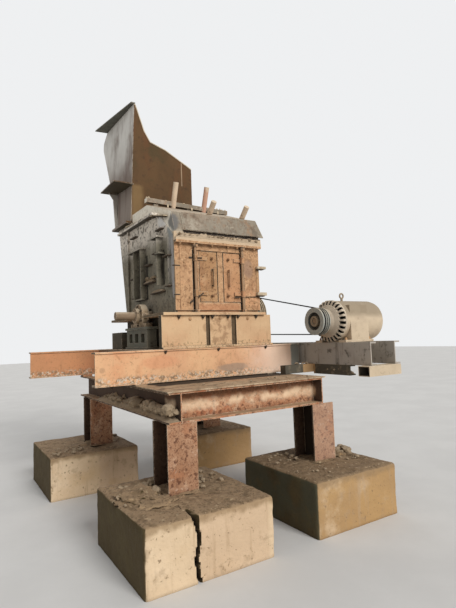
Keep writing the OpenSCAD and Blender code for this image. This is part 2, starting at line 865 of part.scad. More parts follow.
// Half section of a grooved pulley with a dished left face; the first number is the radius
module pulley_outline(r, bore, rim, hub, dish) {
    difference() {
        translate([bore, 0]) square([r - bore, pulley_w]);
        translate([bore + hub, -1]) square([r - bore - hub - rim, dish + 1]);
        translate([bore + hub, pulley_w - dish]) square([r - bore - hub - rim, dish + 1]);
        for (i = [0:groove_count - 1])
            translate([0, belt_x - pulley_x0 + i * groove_pitch])
                polygon([[r - belt_in, -groove_low_w / 2], [r - belt_in, groove_low_w / 2],
                         [r + 1, groove_top_w / 2], [r + 1, -groove_top_w / 2]]);
    }
}

module pulley(y, z, r, bore, rim, hub, dish) {
    translate([pulley_x0, 0, 0]) x_turned(y, z) pulley_outline(r, bore, rim, hub, dish);
}

module driven_pulley() {
    color(dusty_steel) pulley(rotor_y, rotor_z, driven_r, stub_r, 30, 26, 30);
}

module motor_pulley() {
    color(dusty_cream) pulley(motor_y, motor_z, drive_r, motor_shaft_r, 46, 20, 34);
}

// Outline round both pulleys at a given distance from their pitch circles, in Y and Z
module belt_loop(out) {
    r1 = drive_pitch_r + out;
    r2 = driven_pitch_r + out;
    up = belt_lean + belt_spread + 90;
    down = belt_lean - belt_spread - 90;
    translate([motor_y, motor_z]) circle(r = r1);
    translate([rotor_y, rotor_z]) circle(r = r2);
    polygon([
        [motor_y + r1 * cos(up), motor_z + r1 * sin(up)],
        [motor_y + r1 * cos(down), motor_z + r1 * sin(down)],
        [rotor_y + r2 * cos(down), rotor_z + r2 * sin(down)],
        [rotor_y + r2 * cos(up), rotor_z + r2 * sin(up)]]);
}

module drive_belt() {
    color(rubber) side_profile(belt_x - belt_w / 2, belt_x + belt_w / 2) difference() {
        belt_loop(belt_play + belt_h);
        belt_loop(belt_play);
    }
}

// Motor frame with rounded far end, feet, side panel, cover and lifting eye
module motor_body() {
    frame_r = motor_r - 5;
    eye_r = 24;
    eye_z = motor_z + motor_r + 47;
    foot_y = 210;
    foot_w = 95;
    color(dusty_cream) {
        x_turned(motor_y, motor_z) polygon([
            [0, motor_frame_x], [frame_r, motor_frame_x], [frame_r, motor_round_x],
            [frame_r - 9, motor_round_x + 36], [frame_r - 34, motor_round_x + 66],
            [frame_r - 79, motor_round_x + 82], [60, motor_end_x - 6], [58, motor_end_x],
            [0, motor_end_x]]);
        for (y = [motor_y - foot_y, motor_y + foot_y - foot_w])
            slab(motor_foot_x0, motor_foot_x1, y, y + foot_w, upper_z, upper_z + motor_foot_t);
        slab(motor_cover_x0 - 8, motor_cover_x1 - 8, motor_y - foot_y + 5, motor_y + foot_y - 5,
             upper_z + motor_foot_t, motor_z - 10);
        slab(motor_cover_x0, motor_cover_x1, motor_y - motor_r + 18, motor_y - 90,
             motor_z - 10, motor_z + 150);
        translate([1100, motor_y, eye_z]) rotate([90, 0, 0])
            rotate_extrude() translate([eye_r, 0]) circle(r = 8, $fn = 24);
        translate([1100, motor_y, motor_z + motor_r - 12]) cylinder(r = 12, h = 32);
    }
}

// Open end shield: nose bell and a ring of air slots
module motor_end_shield() {
    slot_w = 27;
    slot_d = 46;
    color(dusty_cream) difference() {
        x_turned(motor_y, motor_z) polygon([
            [motor_shaft_r + running_play, motor_nose_x], [88, motor_nose_x], [104, motor_nose_x + 26],
            [122, motor_nose_x + 50], [160, motor_ring_x - 18], [motor_r - 8, motor_ring_x],
            [motor_r, motor_ring_x + 8], [motor_r, motor_frame_x],
            [motor_shaft_r + running_play, motor_frame_x]]);
        for (i = [0:slot_count - 1])
            translate([0, motor_y, motor_z]) rotate([i * 360 / slot_count, 0, 0])
                slab(motor_ring_x - 20, motor_ring_x + 34, -slot_w / 2, slot_w / 2,
                     motor_r - slot_d, motor_r + 5);
    }
}

module motor_shaft() {
    color(bright_steel) x_bar(pulley_x0 + 10, motor_frame_x - 5, motor_y, motor_z, motor_shaft_r);
}

// Outline of the chute side: foot, leaning back with its bend, back edge, corner and top
module chute_side_outline() {
    polygon([[chute_front_y, chute_foot_z], [chute_foot_y1, chute_foot_z],
             [chute_knee_y, chute_knee_z], [chute_bend_y, chute_bend_z],
             [chute_back_y, chute_back_z], [chute_back_y, chute_back_top_z],
             [chute_corner_y, chute_corner_z], [chute_front_y, chute_top_z]]);
}

// Turns a shape drawn about X = 0 into the plane of the chute's left side
module in_left_side() {
    translate([chute_left_x, chute_front_y, chute_foot_z])
        rotate([0, chute_lean, chute_flare])
            translate([0, -chute_front_y, -chute_foot_z]) children();
}

// Back of the chute as a bent sheet
module chute_back() {
    side_profile(foot_x0, chute_x1 - sheet_t) polygon([
        [chute_foot_y1 - sheet_t, chute_foot_z], [chute_foot_y1, chute_foot_z],
        [chute_knee_y, chute_knee_z], [chute_bend_y, chute_bend_z], [chute_back_y, chute_back_z],
        [chute_back_y, chute_back_top_z], [chute_back_y - sheet_t, chute_back_top_z],
        [chute_back_y - sheet_t, chute_back_z], [chute_bend_y - sheet_t, chute_bend_z],
        [chute_knee_y - sheet_t, chute_knee_z]]);
}

// Chute: two sides, front with its slanting cut, back, foot plate and the side shelf
module feed_chute() {
    inner_x1 = chute_x1 - sheet_t;
    front_h = chute_top_z - chute_foot_z;
    top_x0 = chute_left_x + front_h * tan(chute_lean);
    color([0.38, 0.30, 0.25]) {
        in_left_side() side_profile(0, sheet_t) chute_side_outline();
        side_profile(inner_x1, chute_x1) intersection() {
            chute_side_outline();
            translate([0, chute_foot_z]) square([2000, chute_cut_z - chute_foot_z]);
        }
        front_profile(chute_front_y, chute_front_y + sheet_t)
            polygon([[chute_left_x + 2, chute_foot_z], [inner_x1, chute_foot_z],
                     [inner_x1, chute_cut_z], [-63, 3882], [-258, 3944], [-332, 4065],
                     [-436, chute_top_z - 8], [top_x0 + 2, chute_top_z - 2]]);
        difference() {
            chute_back();
            in_left_side() slab(-200, 0.5, 0, 2 * chute_back_y, 0, 2 * chute_foot_z);
        }
        difference() {
            slab(foot_x0, foot_x1, neck_y, chute_foot_y1, neck_z, chute_foot_z);
            slab(chute_left_x + 2 * sheet_t, inner_x1 - 20, chute_front_y + sheet_t, rear_high_y - 20,
                 neck_z - 1, chute_foot_z + 1);
        }
        shelf();
        side_gusset();
    }
}

// Shelf on the outside of the left side
module shelf() {
    front_edge_x = chute_left_x + 22;
    back_edge_x = front_edge_x - (shelf_y1 - chute_front_y) * tan(chute_flare);
    translate([0, 0, shelf_z]) linear_extrude(sheet_t) polygon([
        [shelf_x0, shelf_y0], [front_edge_x, shelf_y0], [front_edge_x, chute_front_y],
        [back_edge_x, shelf_y1], [shelf_x0, shelf_y1]]);
}

// Narrow upright gusset between the shelf and the chute's foot
module side_gusset() {
    gusset_y = chute_foot_y1 - 60;
    gusset_x = chute_left_x - 30;
    front_profile(gusset_y, gusset_y + sheet_t)
        polygon([[gusset_x, shelf_z], [gusset_x - 100, shelf_z], [gusset_x - 40, shelf_z - 90],
                 [gusset_x - 28, chute_foot_z], [gusset_x, chute_foot_z]]);
}

// Sheet over the left top edge of the chute, wider at the back
module chute_lid() {
    drop = (chute_top_z - chute_corner_z) / (chute_corner_y - chute_front_y);
    lid_len = chute_corner_y - chute_front_y;
    front_h = chute_top_z - chute_foot_z;
    edge_x = chute_left_x + front_h * tan(chute_lean);
    color(dark_steel) translate([edge_x, chute_front_y, chute_top_z - 0.8]) rotate([-atan(drop), 0, 0])
        linear_extrude(sheet_t) polygon([
            [-36, -4], [14, -4], [-44, lid_len], [-230, lid_len + 22]]);
}

plinth_front_left();
plinth_front_right();
plinth_rear_left();
plinth_rear_right();
post_front_left();
post_front_right();
post_rear_left();
post_rear_right();
lower_beam_left();
lower_beam_right();
lower_beam_front();
lower_beam_rear();
deck_plate();
upper_beam_front();
upper_beam_rear();
upper_beam_left();
upper_beam_right();
motor_beam_left();
motor_beam_right();
motor_frame_crosspieces();
crusher_base();
side_wall_left();
side_wall_right();
front_wall();
rear_wall();
hood();
hinge_rods();
door_left();
door_right();
adjusting_rods();
impact_aprons();
pedestal_left();
pedestal_right();
bearing_left();
bearing_right();
rotor_shaft();
rotor();
driven_pulley();
motor_body();
motor_end_shield();
motor_shaft();
motor_pulley();
drive_belt();
feed_chute();
chute_lid();
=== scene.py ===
# Impact crusher plant: finish, small pieces, light and camera around the fixed frame.
# Metres, in the frame of the CAD model: +Z up, doors face -Y, the motor stands towards +X.
import math
import random

import bmesh
import bpy
from mathutils import Matrix, Vector, noise


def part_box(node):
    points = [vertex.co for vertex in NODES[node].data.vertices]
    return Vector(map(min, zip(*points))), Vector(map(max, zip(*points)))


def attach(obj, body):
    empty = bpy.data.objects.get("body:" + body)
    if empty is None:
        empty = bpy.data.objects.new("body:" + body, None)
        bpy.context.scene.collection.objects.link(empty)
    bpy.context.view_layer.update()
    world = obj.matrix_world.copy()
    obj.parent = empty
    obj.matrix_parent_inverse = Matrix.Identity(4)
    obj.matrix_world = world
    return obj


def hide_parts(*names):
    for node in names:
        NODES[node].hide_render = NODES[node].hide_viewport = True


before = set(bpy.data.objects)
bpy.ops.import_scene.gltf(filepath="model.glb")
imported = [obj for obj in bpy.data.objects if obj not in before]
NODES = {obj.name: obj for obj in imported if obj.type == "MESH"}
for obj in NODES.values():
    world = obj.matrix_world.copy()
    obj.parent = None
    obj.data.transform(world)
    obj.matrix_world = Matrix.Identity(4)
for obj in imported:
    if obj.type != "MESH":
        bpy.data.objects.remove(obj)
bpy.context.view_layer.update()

# Camera: the place and angles of the photograph's view, and its lens
CAMERA_AT = (-2.370, -4.300, 1.55)
CAMERA_YAW = 32.12
CAMERA_PITCH = 4.29
CAMERA_ROLL = -2.07
CAMERA_LENS = 27.11
SENSOR = 36.0

# Light: one soft sun from the front, a weak one from behind, and a pale sky. Angles in degrees
KEY_SUN = {"strength": 2.35, "soft": 26, "azimuth": 8, "height": 32}
BACK_SUN = {"strength": 0.35, "soft": 30, "azimuth": 170, "height": 40}
SKY_FILL = (0.97, 0.98, 1.0, 1)
SKY_FILL_STRENGTH = 0.46
SKY_SEEN = (0.86, 0.87, 0.88, 1)
FLOOR_SIZE = 40

# Finishes: the sheen of all, and the motor's axis as y and z in metres
SHEEN = 0.3
MOTOR_AXIS = (-0.96, 1.685)

# Places of small pieces, in millimetres: the rotor's axis as y and z, each side's way along X and
# outer face, the shelves on it as two y and the z below, tops, and the ridge's fall in degrees
MM = 0.001
ROTOR_AXIS = (150, 1810)
WALL_FACES = ((-1, -532), (1, 432))
GABLE_FACES = ((-1, -532), (1, 442))
WALL_SHELVES = ((-20, 237, 2140), (-249, 32, 2020))
SHELF_TALL = 12
PLINTH_TOP = 418
FEET_TOP = 1494
HOOD_FALL = 1.7
UP, DOWN, OUT = (0, 0, 1), (0, 0, -1), (0, -1, 0)

# Edges stay sharp where they turn by more than these degrees
BOLT_ROUND = 40
SOIL_ROUND = 50
BLOCK_ROUND = 60

# Bolts: the washer's thickness in metres, and the head's turn in radians
WASHER = 0.003
BOLT_TURN = 0.3

# Banks of dust: the section's points, as shares of its depth and height
BANK_PROFILE = ((0, 0), (0.18, 0.35), (0.45, 0.62), (0.75, 0.85), (1, 1), (1, 0))

# Plinths, in metres: mesh sizes, rounding of the edges, soil on the top, and the crack's line as
# heights and x
CELL = 0.016
FINE_CELL = 0.011
EDGE_LEAST = 0.012
EDGE_MORE = 0.03
SOIL_LUMP = 0.018
SOIL_RIM = 0.08
CRACK = ((0.0, -0.960), (0.012, -0.961), (0.151, -0.977), (0.268, -0.951), (0.371, -0.970),
         (0.440, -0.985))
CRACK_REACH = 0.16
CRACK_DEPTH = 0.085
CRACK_HALF = 0.011


def look():
    """Colours as they are, with no film curve."""
    bpy.context.scene.view_settings.view_transform = "Standard"


def camera():
    """The photograph's view, found from its perspective."""
    data = bpy.data.cameras.new("camera")
    data.lens = CAMERA_LENS
    data.sensor_width = SENSOR
    obj = bpy.data.objects.new("camera", data)
    turn = (Matrix.Rotation(math.radians(-CAMERA_YAW), 4, "Z")
            @ Matrix.Rotation(math.radians(90 + CAMERA_PITCH), 4, "X")
            @ Matrix.Rotation(math.radians(CAMERA_ROLL), 4, "Z"))
    obj.matrix_world = Matrix.Translation(CAMERA_AT) @ turn
    bpy.context.collection.objects.link(obj)
    bpy.context.scene.camera = obj


def sun(name, strength, soft, azimuth, height):
    """A sun that shines from azimuth, in degrees from -Y towards +X, at a height in degrees."""
    data = bpy.data.lights.new(name, "SUN")
    data.energy = strength
    data.angle = math.radians(soft)
    obj = bpy.data.objects.new(name, data)
    obj.rotation_euler = (math.radians(90 - height), 0, math.radians(azimuth))
    bpy.context.collection.objects.link(obj)


def sky():
    """A sky that lights with one colour and shows another, also in reflections."""
    world = bpy.data.worlds.new("sky")
    world.use_nodes = True
    nodes, links = world.node_tree.nodes, world.node_tree.links
    nodes.clear()
    out = nodes.new("ShaderNodeOutputWorld")
    fill = nodes.new("ShaderNodeBackground")
    fill.inputs["Color"].default_value = SKY_FILL
    fill.inputs["Strength"].default_value = SKY_FILL_STRENGTH
    seen = nodes.new("ShaderNodeBackground")
    seen.inputs["Color"].default_value = SKY_SEEN
    path = nodes.new("ShaderNodeLightPath")
    either = nodes.new("ShaderNodeMath")
    either.operation = "MAXIMUM"
    mix = nodes.new("ShaderNodeMixShader")
    links.new(path.outputs["Is Camera Ray"], either.inputs[0])
    links.new(path.outputs["Is Glossy Ray"], either.inputs[1])
    links.new(either.outputs[0], mix.inputs[0])
    links.new(fill.outputs[0], mix.inputs[1])
    links.new(seen.outputs[0], mix.inputs[2])
    links.new(mix.outputs[0], out.inputs[0])
    bpy.context.scene.world = world


def linear(colour, share=1.0):
    """A screen colour, 0 to 255, or a share of it, as linear RGBA."""
    def one(value):
        value /= 255
        return value / 12.92 if value <= 0.04045 else ((value + 0.055) / 1.055) ** 2.4
    return (*(share * one(value) for value in colour), 1)


class Paint:
    """Builds one node material, layer by layer, in object coordinates."""

    def __init__(self, name, roughness=0.85):
        self.material = bpy.data.materials.new(name)
        self.material.use_nodes = True
        tree = self.material.node_tree
        self.nodes, self.links = tree.nodes, tree.links
        self.shader = self.nodes["Principled BSDF"]
        self.shader.inputs["Roughness"].default_value = roughness
        self.shader.inputs["Specular IOR Level"].default_value = SHEEN
        here = self.node("TexCoord").outputs
        self.place, self.facing = here["Object"], here["Normal"]
        self.colour = None

    def link(self, source, socket):
        """Joins an output to an input, or gives the input a value."""
        if isinstance(source, (int, float, tuple)):
            socket.default_value = source
        else:
            self.links.new(source, socket)

    def node(self, kind, **inputs):
        """A node, with inputs that are joined or set by name."""
        node = self.nodes.new("ShaderNode" + kind)
        for name, source in inputs.items():
            self.link(source, node.inputs[name])
        return node

    def sized(self, stretch):
        """Places with each axis scaled, which stretches a noise."""
        if stretch == (1, 1, 1):
            return self.place
        return self.node("Mapping", Vector=self.place, Scale=stretch).outputs[0]

    def noise(self, scale, detail=5, rough=0.6, stretch=(1, 1, 1)):
        vector = self.sized(stretch)
        node = self.node("TexNoise", Vector=vector, Scale=scale, Detail=detail, Roughness=rough)
        return node.outputs["Fac"]

    def maths(self, operation, *sources, kind="Math", output="Value"):
        node = self.node(kind)
        node.operation = operation
        for source, socket in zip(sources, node.inputs):
            self.link(source, socket)
        return node.outputs[output]

    def times(self, first, second):
        return self.maths("MULTIPLY", first, second)

    def vector(self, operation, *sources, output="Vector"):
        return self.maths(operation, *sources, kind="VectorMath", output=output)

    def window(self, value, low, high, amount=1.0):
        """0 below low and amount above high, smooth between; low above high turns it round."""
        ends = (high, low, amount, 0.0) if low > high else (low, high, 0.0, amount)
        names = ("From Min", "From Max", "To Min", "To Max")
        node = self.node("MapRange", Value=value, **dict(zip(names, ends)))
        node.interpolation_type = "SMOOTHSTEP"
        return node.outputs["Result"]

    def ragged(self, amount, scale=9):
        """Places pushed about by noise, by one amount or one an axis."""
        push = amount if isinstance(amount, tuple) else (amount,) * 3
        rough = self.noise(scale, 6, 0.5).node.outputs["Color"]
        moved = self.vector("MULTIPLY_ADD", rough, push, self.place)
        return self.vector("SUBTRACT", moved, tuple(0.5 * p for p in push))

    def zone(self, soft=0.006, uneven=0.0, amount=1.0, **ranges):
        """Places between two values of each named axis, with a soft or uneven edge."""
        vector = self.ragged(uneven) if uneven else self.place
        mask = amount
        for name, (low, high) in ranges.items():
            value = self.axis(vector, name.upper())
            mask = self.times(mask, self.window(value, low - soft, low + soft))
            mask = self.times(mask, self.window(value, high + soft, high - soft))
        return mask

    def disc(self, middle, high, soft=0.002):
        """Places nearer than high to an axis along X, with its y and z at middle."""
        flat = self.vector("MULTIPLY_ADD", self.place, (0, 1, 1), (0, -middle[0], -middle[1]))
        return self.window(self.vector("LENGTH", flat, output="Value"), high + soft, high - soft)

    def axis(self, vector, name):
        return self.node("SeparateXYZ", Vector=vector).outputs[name]

    def faces(self, name, low, high, amount=1.0):
        """Faces by how far they look along an axis."""
        return self.window(self.axis(self.facing, name), low, high, amount)

    def along(self, name, low, high, amount=1.0, uneven=0.0, scale=9):
        """Places by how far they lie along an axis."""
        vector = self.ragged(uneven, scale) if uneven else self.place
        return self.window(self.axis(vector, name), low, high, amount)

    def specks(self, scale, low, high, amount=1.0, stretch=(1, 1, 1)):
        """Places where a noise is high."""
        return self.window(self.noise(scale, stretch=stretch), low, high, amount)

    def lay(self, mask, colour):
        """Mixes a colour over what is there, where the mask says; screen colours have 3 values."""
        node = self.node("Mix", Factor=mask)
        node.data_type = "RGBA"
        self.link(self.colour, node.inputs[6])
        self.link(linear(colour) if len(colour) == 3 else colour, node.inputs[7])
        self.colour = node.outputs[2]

    def band(self, colour, *edge, **ranges):
        """A colour on a zone, whose edge and ranges are given as for zone."""
        self.lay(self.zone(*edge, **ranges), colour)

    def blob(self, colour, centre, size, amount=1.0, uneven=0.35):
        """A colour on a soft ellipsoid round centre, with a ragged edge."""
        moved = self.ragged(tuple(uneven * s for s in size))
        fit = self.vector("DIVIDE", self.vector("SUBTRACT", moved, centre), size)
        reach = self.vector("LENGTH", fit, output="Value")
        self.lay(self.window(reach, 1.0, 0.6, amount), colour)

    def broken(self, mask, colour, *specks):
        """A colour on a mask where a noise is high; the values for specks follow."""
        self.lay(self.times(mask, self.specks(*specks)), colour)

    def base(self, low, high, scale, stretch=(1, 1, 1)):
        """Two colours that a noise mixes, below all else."""
        self.colour = linear(low)
        self.lay(self.window(self.noise(scale, 6, 0.62, stretch), 0.35, 0.68), high)

    def mottle(self, colour, scale, low, high, amount, stretch=(1, 1, 1)):
        """Patches of a colour where a noise is high."""
        self.lay(self.window(self.noise(scale, 8, 0.65, stretch), low, high, amount), colour)

    def mottles(self, *rows):
        """One mottle after another."""
        for row in rows:
            self.mottle(*row)

    def sides(self, colour, amount=0.9, both=True):
        """A colour for the faces that look along X, both ways or only towards -X."""
        across = self.axis(self.facing, "X")
        if both:
            across = self.times(self.maths("ABSOLUTE", across), -1.0)
        self.lay(self.window(across, -0.45, -0.8, amount), colour)

    def dust_on_tops(self, colour, amount):
        """Patchy dust on faces that look up."""
        up = self.faces("Z", 0.25, 0.8)
        patchy = self.window(self.noise(7, 7, 0.65), 0.25, 0.55, amount)
        self.lay(self.times(up, patchy), colour)

    def worn_edges(self, colour, radius=0.006, amount=0.8):
        """Rubbed edges, from the turn of a bevelled normal, broken up by noise."""
        bevel = self.node("Bevel", Radius=radius)
        bevel.samples = 4
        true = self.node("NewGeometry").outputs["True Normal"]
        turn = self.vector("DOT_PRODUCT", bevel.outputs[0], true, output="Value")
        edge = self.window(turn, 0.995, 0.90)
        broken = self.window(self.noise(18, 6, 0.6), 0.36, 0.58, amount)
        self.lay(self.times(edge, broken), colour)

    def crevices(self, colour, distance, amount):
        """Dark dirt and painted shade where surfaces meet, from ambient occlusion."""
        node = self.node("AmbientOcclusion", Distance=distance)
        node.samples = 6
        self.lay(self.window(node.outputs["AO"], 0.75, 0.15, amount), colour)

    def rough(self, strength, depth, scale=60, coarse=9):
        """Bump from a fine grain over a coarser unevenness."""
        fine = self.noise(scale, 6, 0.7)
        lumps = self.noise(coarse, 4, 0.55)
        both = self.maths("MULTIPLY_ADD", lumps, 2.0, fine)
        bump = self.node("Bump", Strength=strength, Distance=depth, Height=both)
        self.link(bump.outputs[0], self.shader.inputs["Normal"])

    def done(self):
        """Ends the layers and gives the material."""
        self.link(self.colour, self.shader.inputs["Base Color"])
        return self.material


# Colours: dust; dark dirt and painted shade where surfaces meet; painted shade in niches; rubbed
# edges
DUST_GREY = (190, 174, 152)
GRIME_AND_SHADE = (40, 33, 26)
SHADE = (58, 50, 40)
EDGE = (232, 208, 176)


def tan_plate(name, low, high, red=0.5, spots=0.7, side=(92, 82, 66)):
    """Steel under tan stone dust, with reddish rubbed patches and dark specks; with the default
    side colour, painted shade on the faces that look along X.
    """
    paint = Paint(name)
    paint.base(low, high, 2.6)
    paint.mottles(
        ((214, 146, 104), 1.7, 0.5, 0.66, red),
        ((158, 118, 84), 8, 0.53, 0.68, spots, (1, 1, 0.6)),
        ((128, 92, 62), 30, 0.56, 0.66, spots),
        ((98, 68, 44), 62, 0.59, 0.66, spots),
        ((140, 104, 74), 6.0, 0.58, 0.74, 0.5, (3, 3, 0.35)))
    # With the default side colour, painted shade on the faces that look along X
    paint.sides(side)
    return paint


def finish_plate(paint, dust=0.85, radius=0.006, dirt_and_shade=0.85):
    """The last layers of a steel plate."""
    # Dark dirt and painted shade where surfaces meet
    paint.crevices((58, 42, 30), 0.05, dirt_and_shade)
    paint.dust_on_tops(DUST_GREY, dust)
    paint.worn_edges(EDGE, radius)
    paint.rough(0.5, 0.004)
    return paint


def wall_paint():
    """Front wall: painted shade in the niches and gaps beside the doors, a seam, red below the
    doors, grey at the right.
    """
    paint = tan_plate("front_wall_finish", (198, 156, 116), (178, 140, 104), 0.4, 0.9)
    paint.mottles(
        ((222, 188, 146), 3.4, 0.55, 0.7, 0.5),
        ((142, 106, 76), 33, 0.5, 0.6, 0.65),
        ((216, 178, 138), 27, 0.57, 0.66, 0.6))
    # Painted shade in the niches behind the hinge rods, and darker painted shade in the gaps
    # beside the doors
    for low, high in ((-0.35, -0.292), (0.19, 0.25)):
        paint.band(SHADE, x=(low, high), y=(-0.456, -0.4), z=(1.81, 2.466))
    for low, high in ((-0.34, -0.324), (0.2, 0.216)):
        paint.band(GRIME_AND_SHADE, 0.004, 0.01, 0.9, x=(low, high), z=(1.81, 2.466))
    paint.band((104, 76, 52), 0.003, 0.008, 0.75, x=(-0.486, -0.478), z=(1.83, 2.42))
    paint.band((182, 124, 88), 0.03, 0.08, 0.55, x=(-0.29, 0.19), z=(1.8, 1.89))
    paint.blob((150, 120, 100), (0.3, -0.46, 2.25), (0.07, 0.05, 0.12), 0.7)
    return finish_plate(paint)


def door_paint():
    """Doors: spotted brown steel, a little paler on the right."""
    paint = tan_plate("door_finish", (184, 144, 104), (166, 124, 86), 0.4, 1.0)
    paint.mottle((116, 84, 58), 16, 0.57, 0.68, 0.7)
    paint.mottle((200, 166, 128), 5, 0.56, 0.7, 0.5)
    paint.band((206, 152, 112), 0.01, x=(-0.05, 0.4), y=(-0.6, 0.2), z=(1.8, 2.5), amount=0.4)
    paint.mottle((112, 80, 56), 36, 0.56, 0.63, 0.7)
    return finish_plate(paint, dirt_and_shade=0.5)


def base_paint():
    """Tan front panels, a splashed lower edge, painted shade in the recesses and on the sides, and
    a colour for the back.
    """
    paint = tan_plate("crusher_base_finish", (212, 178, 138), (200, 162, 124), 0.2, 0.12)
    middle = paint.zone(0.01, 0.02, 0.8, x=(-0.2, 0.05))
    paint.broken(middle, (158, 124, 92), 14, 0.44, 0.6)
    low = paint.zone(0.012, 0.05, 1.0, z=(1.4, 1.535))
    paint.broken(low, (136, 112, 82), 38, 0.5, 0.62, 0.8)
    paint.blob((160, 124, 90), (-0.22, -0.5, 1.66), (0.07, 0.04, 0.06), 0.6)
    # Painted shade on the recessed faces behind the front panels, lighter brown in the slots
    inner = paint.times(paint.along("Y", -0.499, -0.492), paint.along("Z", 1.782, 1.776))
    paint.lay(inner, (72, 66, 54))
    paint.lay(paint.times(inner, paint.zone(x=(-0.27, 0.12), y=(-0.6, -0.3))), (124, 112, 90))
    paint.lay(paint.faces("Y", 0.4, 0.8, 0.6), (140, 122, 98))
    paint.broken(inner, (104, 92, 74), 7, 0.5, 0.66, 0.5)
    return finish_plate(paint)


def hood_paint():
    """Hood: grey roof, tan front band with dust above a black line of painted shadow, pale left
    gable.
    """
    paint = tan_plate("hood_finish", (146, 136, 120), (132, 122, 106), 0.1, 0.6, (250, 242, 228))
    paint.mottles(
        ((176, 164, 146), 4, 0.5, 0.66, 0.7),
        ((108, 88, 70), 9, 0.56, 0.68, 0.75),
        ((184, 172, 152), 20, 0.58, 0.68, 0.6),
        ((92, 78, 64), 5, 0.55, 0.66, 0.6, (1, 1, 0.5)),
        ((118, 102, 86), 28, 0.52, 0.62, 0.6))
    paint.sides((255, 246, 226), 0.62)
    paint.band((204, 178, 146), 0.01, 0.02, 0.9, z=(2.48, 2.58))
    paint.blob((98, 97, 96), (-0.53, -0.46, 2.67), (0.085, 0.17, 0.1), 0.85, 1.1)
    paint.blob((184, 172, 152), (-0.47, -0.45, 2.57), (0.05, 0.06, 0.04), 0.6)
    # Painted shadow: a black line in the groove under the front band
    paint.band((22, 16, 12), 0.003, x=(-0.43, 0.46), y=(-0.505, -0.4), z=(2.562, 2.6))
    return finish_plate(paint, 0.7)


def beam_paint(name, low, high, red, smudge=False):
    """Upper beams: orange tan over a splashed lower edge; the front one has smudges and a bluish
    grey painted shade at its right end too.
    """
    paint = tan_plate(name, low, high, red, 0.35)
    low_edge = paint.zone(0.02, 0.06, 0.85, z=(1.18, 1.25))
    paint.broken(low_edge, (132, 110, 86), 38, 0.44, 0.56)
    paint.broken(low_edge, (214, 198, 176), 52, 0.52, 0.6)
    if smudge:
        paint.blob((152, 132, 114), (0.05, -0.52, 1.27), (0.21, 0.1, 0.045), 0.7, 0.9)
        paint.band((236, 206, 182), 0.25, 0.35, 0.8, x=(0.3, 1.6))
        # Painted shade: bluish grey at the right end of the front beam
        paint.band((126, 128, 120), 0.012, 0.03, 0.95, x=(0.775, 1.4))
        paint.blob((150, 116, 90), (-1.24, -0.52, 1.32), (0.03, 0.1, 0.03), 0.4)
        paint.blob((216, 148, 108), (-0.72, -0.52, 1.36), (0.22, 0.1, 0.07), 0.5, 0.7)
    return finish_plate(paint, 0.9, 0.008)


def dark_plate(name, low, high, brown=0.3, dust=0.8, pale=0.5):
    """Dark worn steel with brown stain and pale dust."""
    paint = Paint(name, 0.75)
    paint.base(low, high, 3.4)
    paint.mottles(
        ((120, 96, 74), 2.2, 0.5, 0.66, brown),
        ((62, 56, 46), 14, 0.54, 0.7, 0.75),
        ((170, 162, 146), 9, 0.58, 0.72, pale, (1.5, 1.5, 0.6)),
        ((70, 62, 50), 5, 0.54, 0.7, 0.5, (3, 3, 0.3)))
    paint.crevices(GRIME_AND_SHADE, 0.07, 0.9)
    paint.dust_on_tops(DUST_GREY, dust)
    paint.worn_edges((186, 172, 150))
    return paint


def side_wall_paint():
    """Side walls: dark below, paler and caked with dust towards the roof, with painted shadows
    beside the ribs and painted shade on the undersides.
    """
    paint = dark_plate("side_wall_finish", (116, 110, 94), (140, 132, 114), 0.25)
    high = paint.along("Z", 2.42, 2.72, 0.85, 0.3, 5)
    paint.broken(high, (240, 228, 212), 9, 0.27, 0.47)
    paint.broken(high, (88, 76, 62), 17, 0.54, 0.62)
    paint.broken(high, (226, 216, 198), 28, 0.58, 0.64)
    paint.mottle((52, 46, 38), 26, 0.57, 0.64, 0.8)
    paint.mottle((168, 158, 140), 36, 0.61, 0.67, 0.6)
    # Painted shadows beside the ribs
    for y, low, high in ((0.415, 2.0, 2.49), (0.21, 1.985, 2.45), (-0.215, 2.09, 2.44)):
        paint.band((36, 32, 26), 0.008, 0.03, 0.9, x=(-0.55, 0.46), y=(y - 0.022, y + 0.022),
                   z=(low, high))
    # Painted shade on the undersides
    paint.lay(paint.faces("Z", -0.5, -0.8, 0.9), (44, 38, 30))
    streak = paint.zone(0.02, 0.06, 0.75, y=(-0.45, -0.365), z=(1.95, 2.62), x=(-0.6, -0.5))
    paint.broken(streak, (176, 172, 170), 6, 0.36, 0.6, 1.0, (3, 3, 0.4))
    paint.blob((142, 146, 144), (-0.53, -0.4, 2.64), (0.1, 0.1, 0.14), 0.9)
    paint.blob((234, 230, 224), (-0.53, -0.23, 2.74), (0.1, 0.17, 0.09), 0.85)
    paint.rough(0.7, 0.006, 50)
    return paint


def cast(name, low, high, dark=0.5, pits=0.6):
    """Casting under cream dust."""
    paint = Paint(name, 0.8)
    paint.base(low, high, 5)
    paint.mottle((164, 140, 112), 3.5, 0.52, 0.68, dark)
    paint.mottle((104, 88, 70), 24, 0.57, 0.7, pits)
    paint.crevices(GRIME_AND_SHADE, 0.04, 0.95)
    paint.dust_on_tops((206, 190, 164), 0.6)
    paint.worn_edges((238, 224, 200), 0.004)
    paint.rough(0.35, 0.002, 90, 16)
    return paint


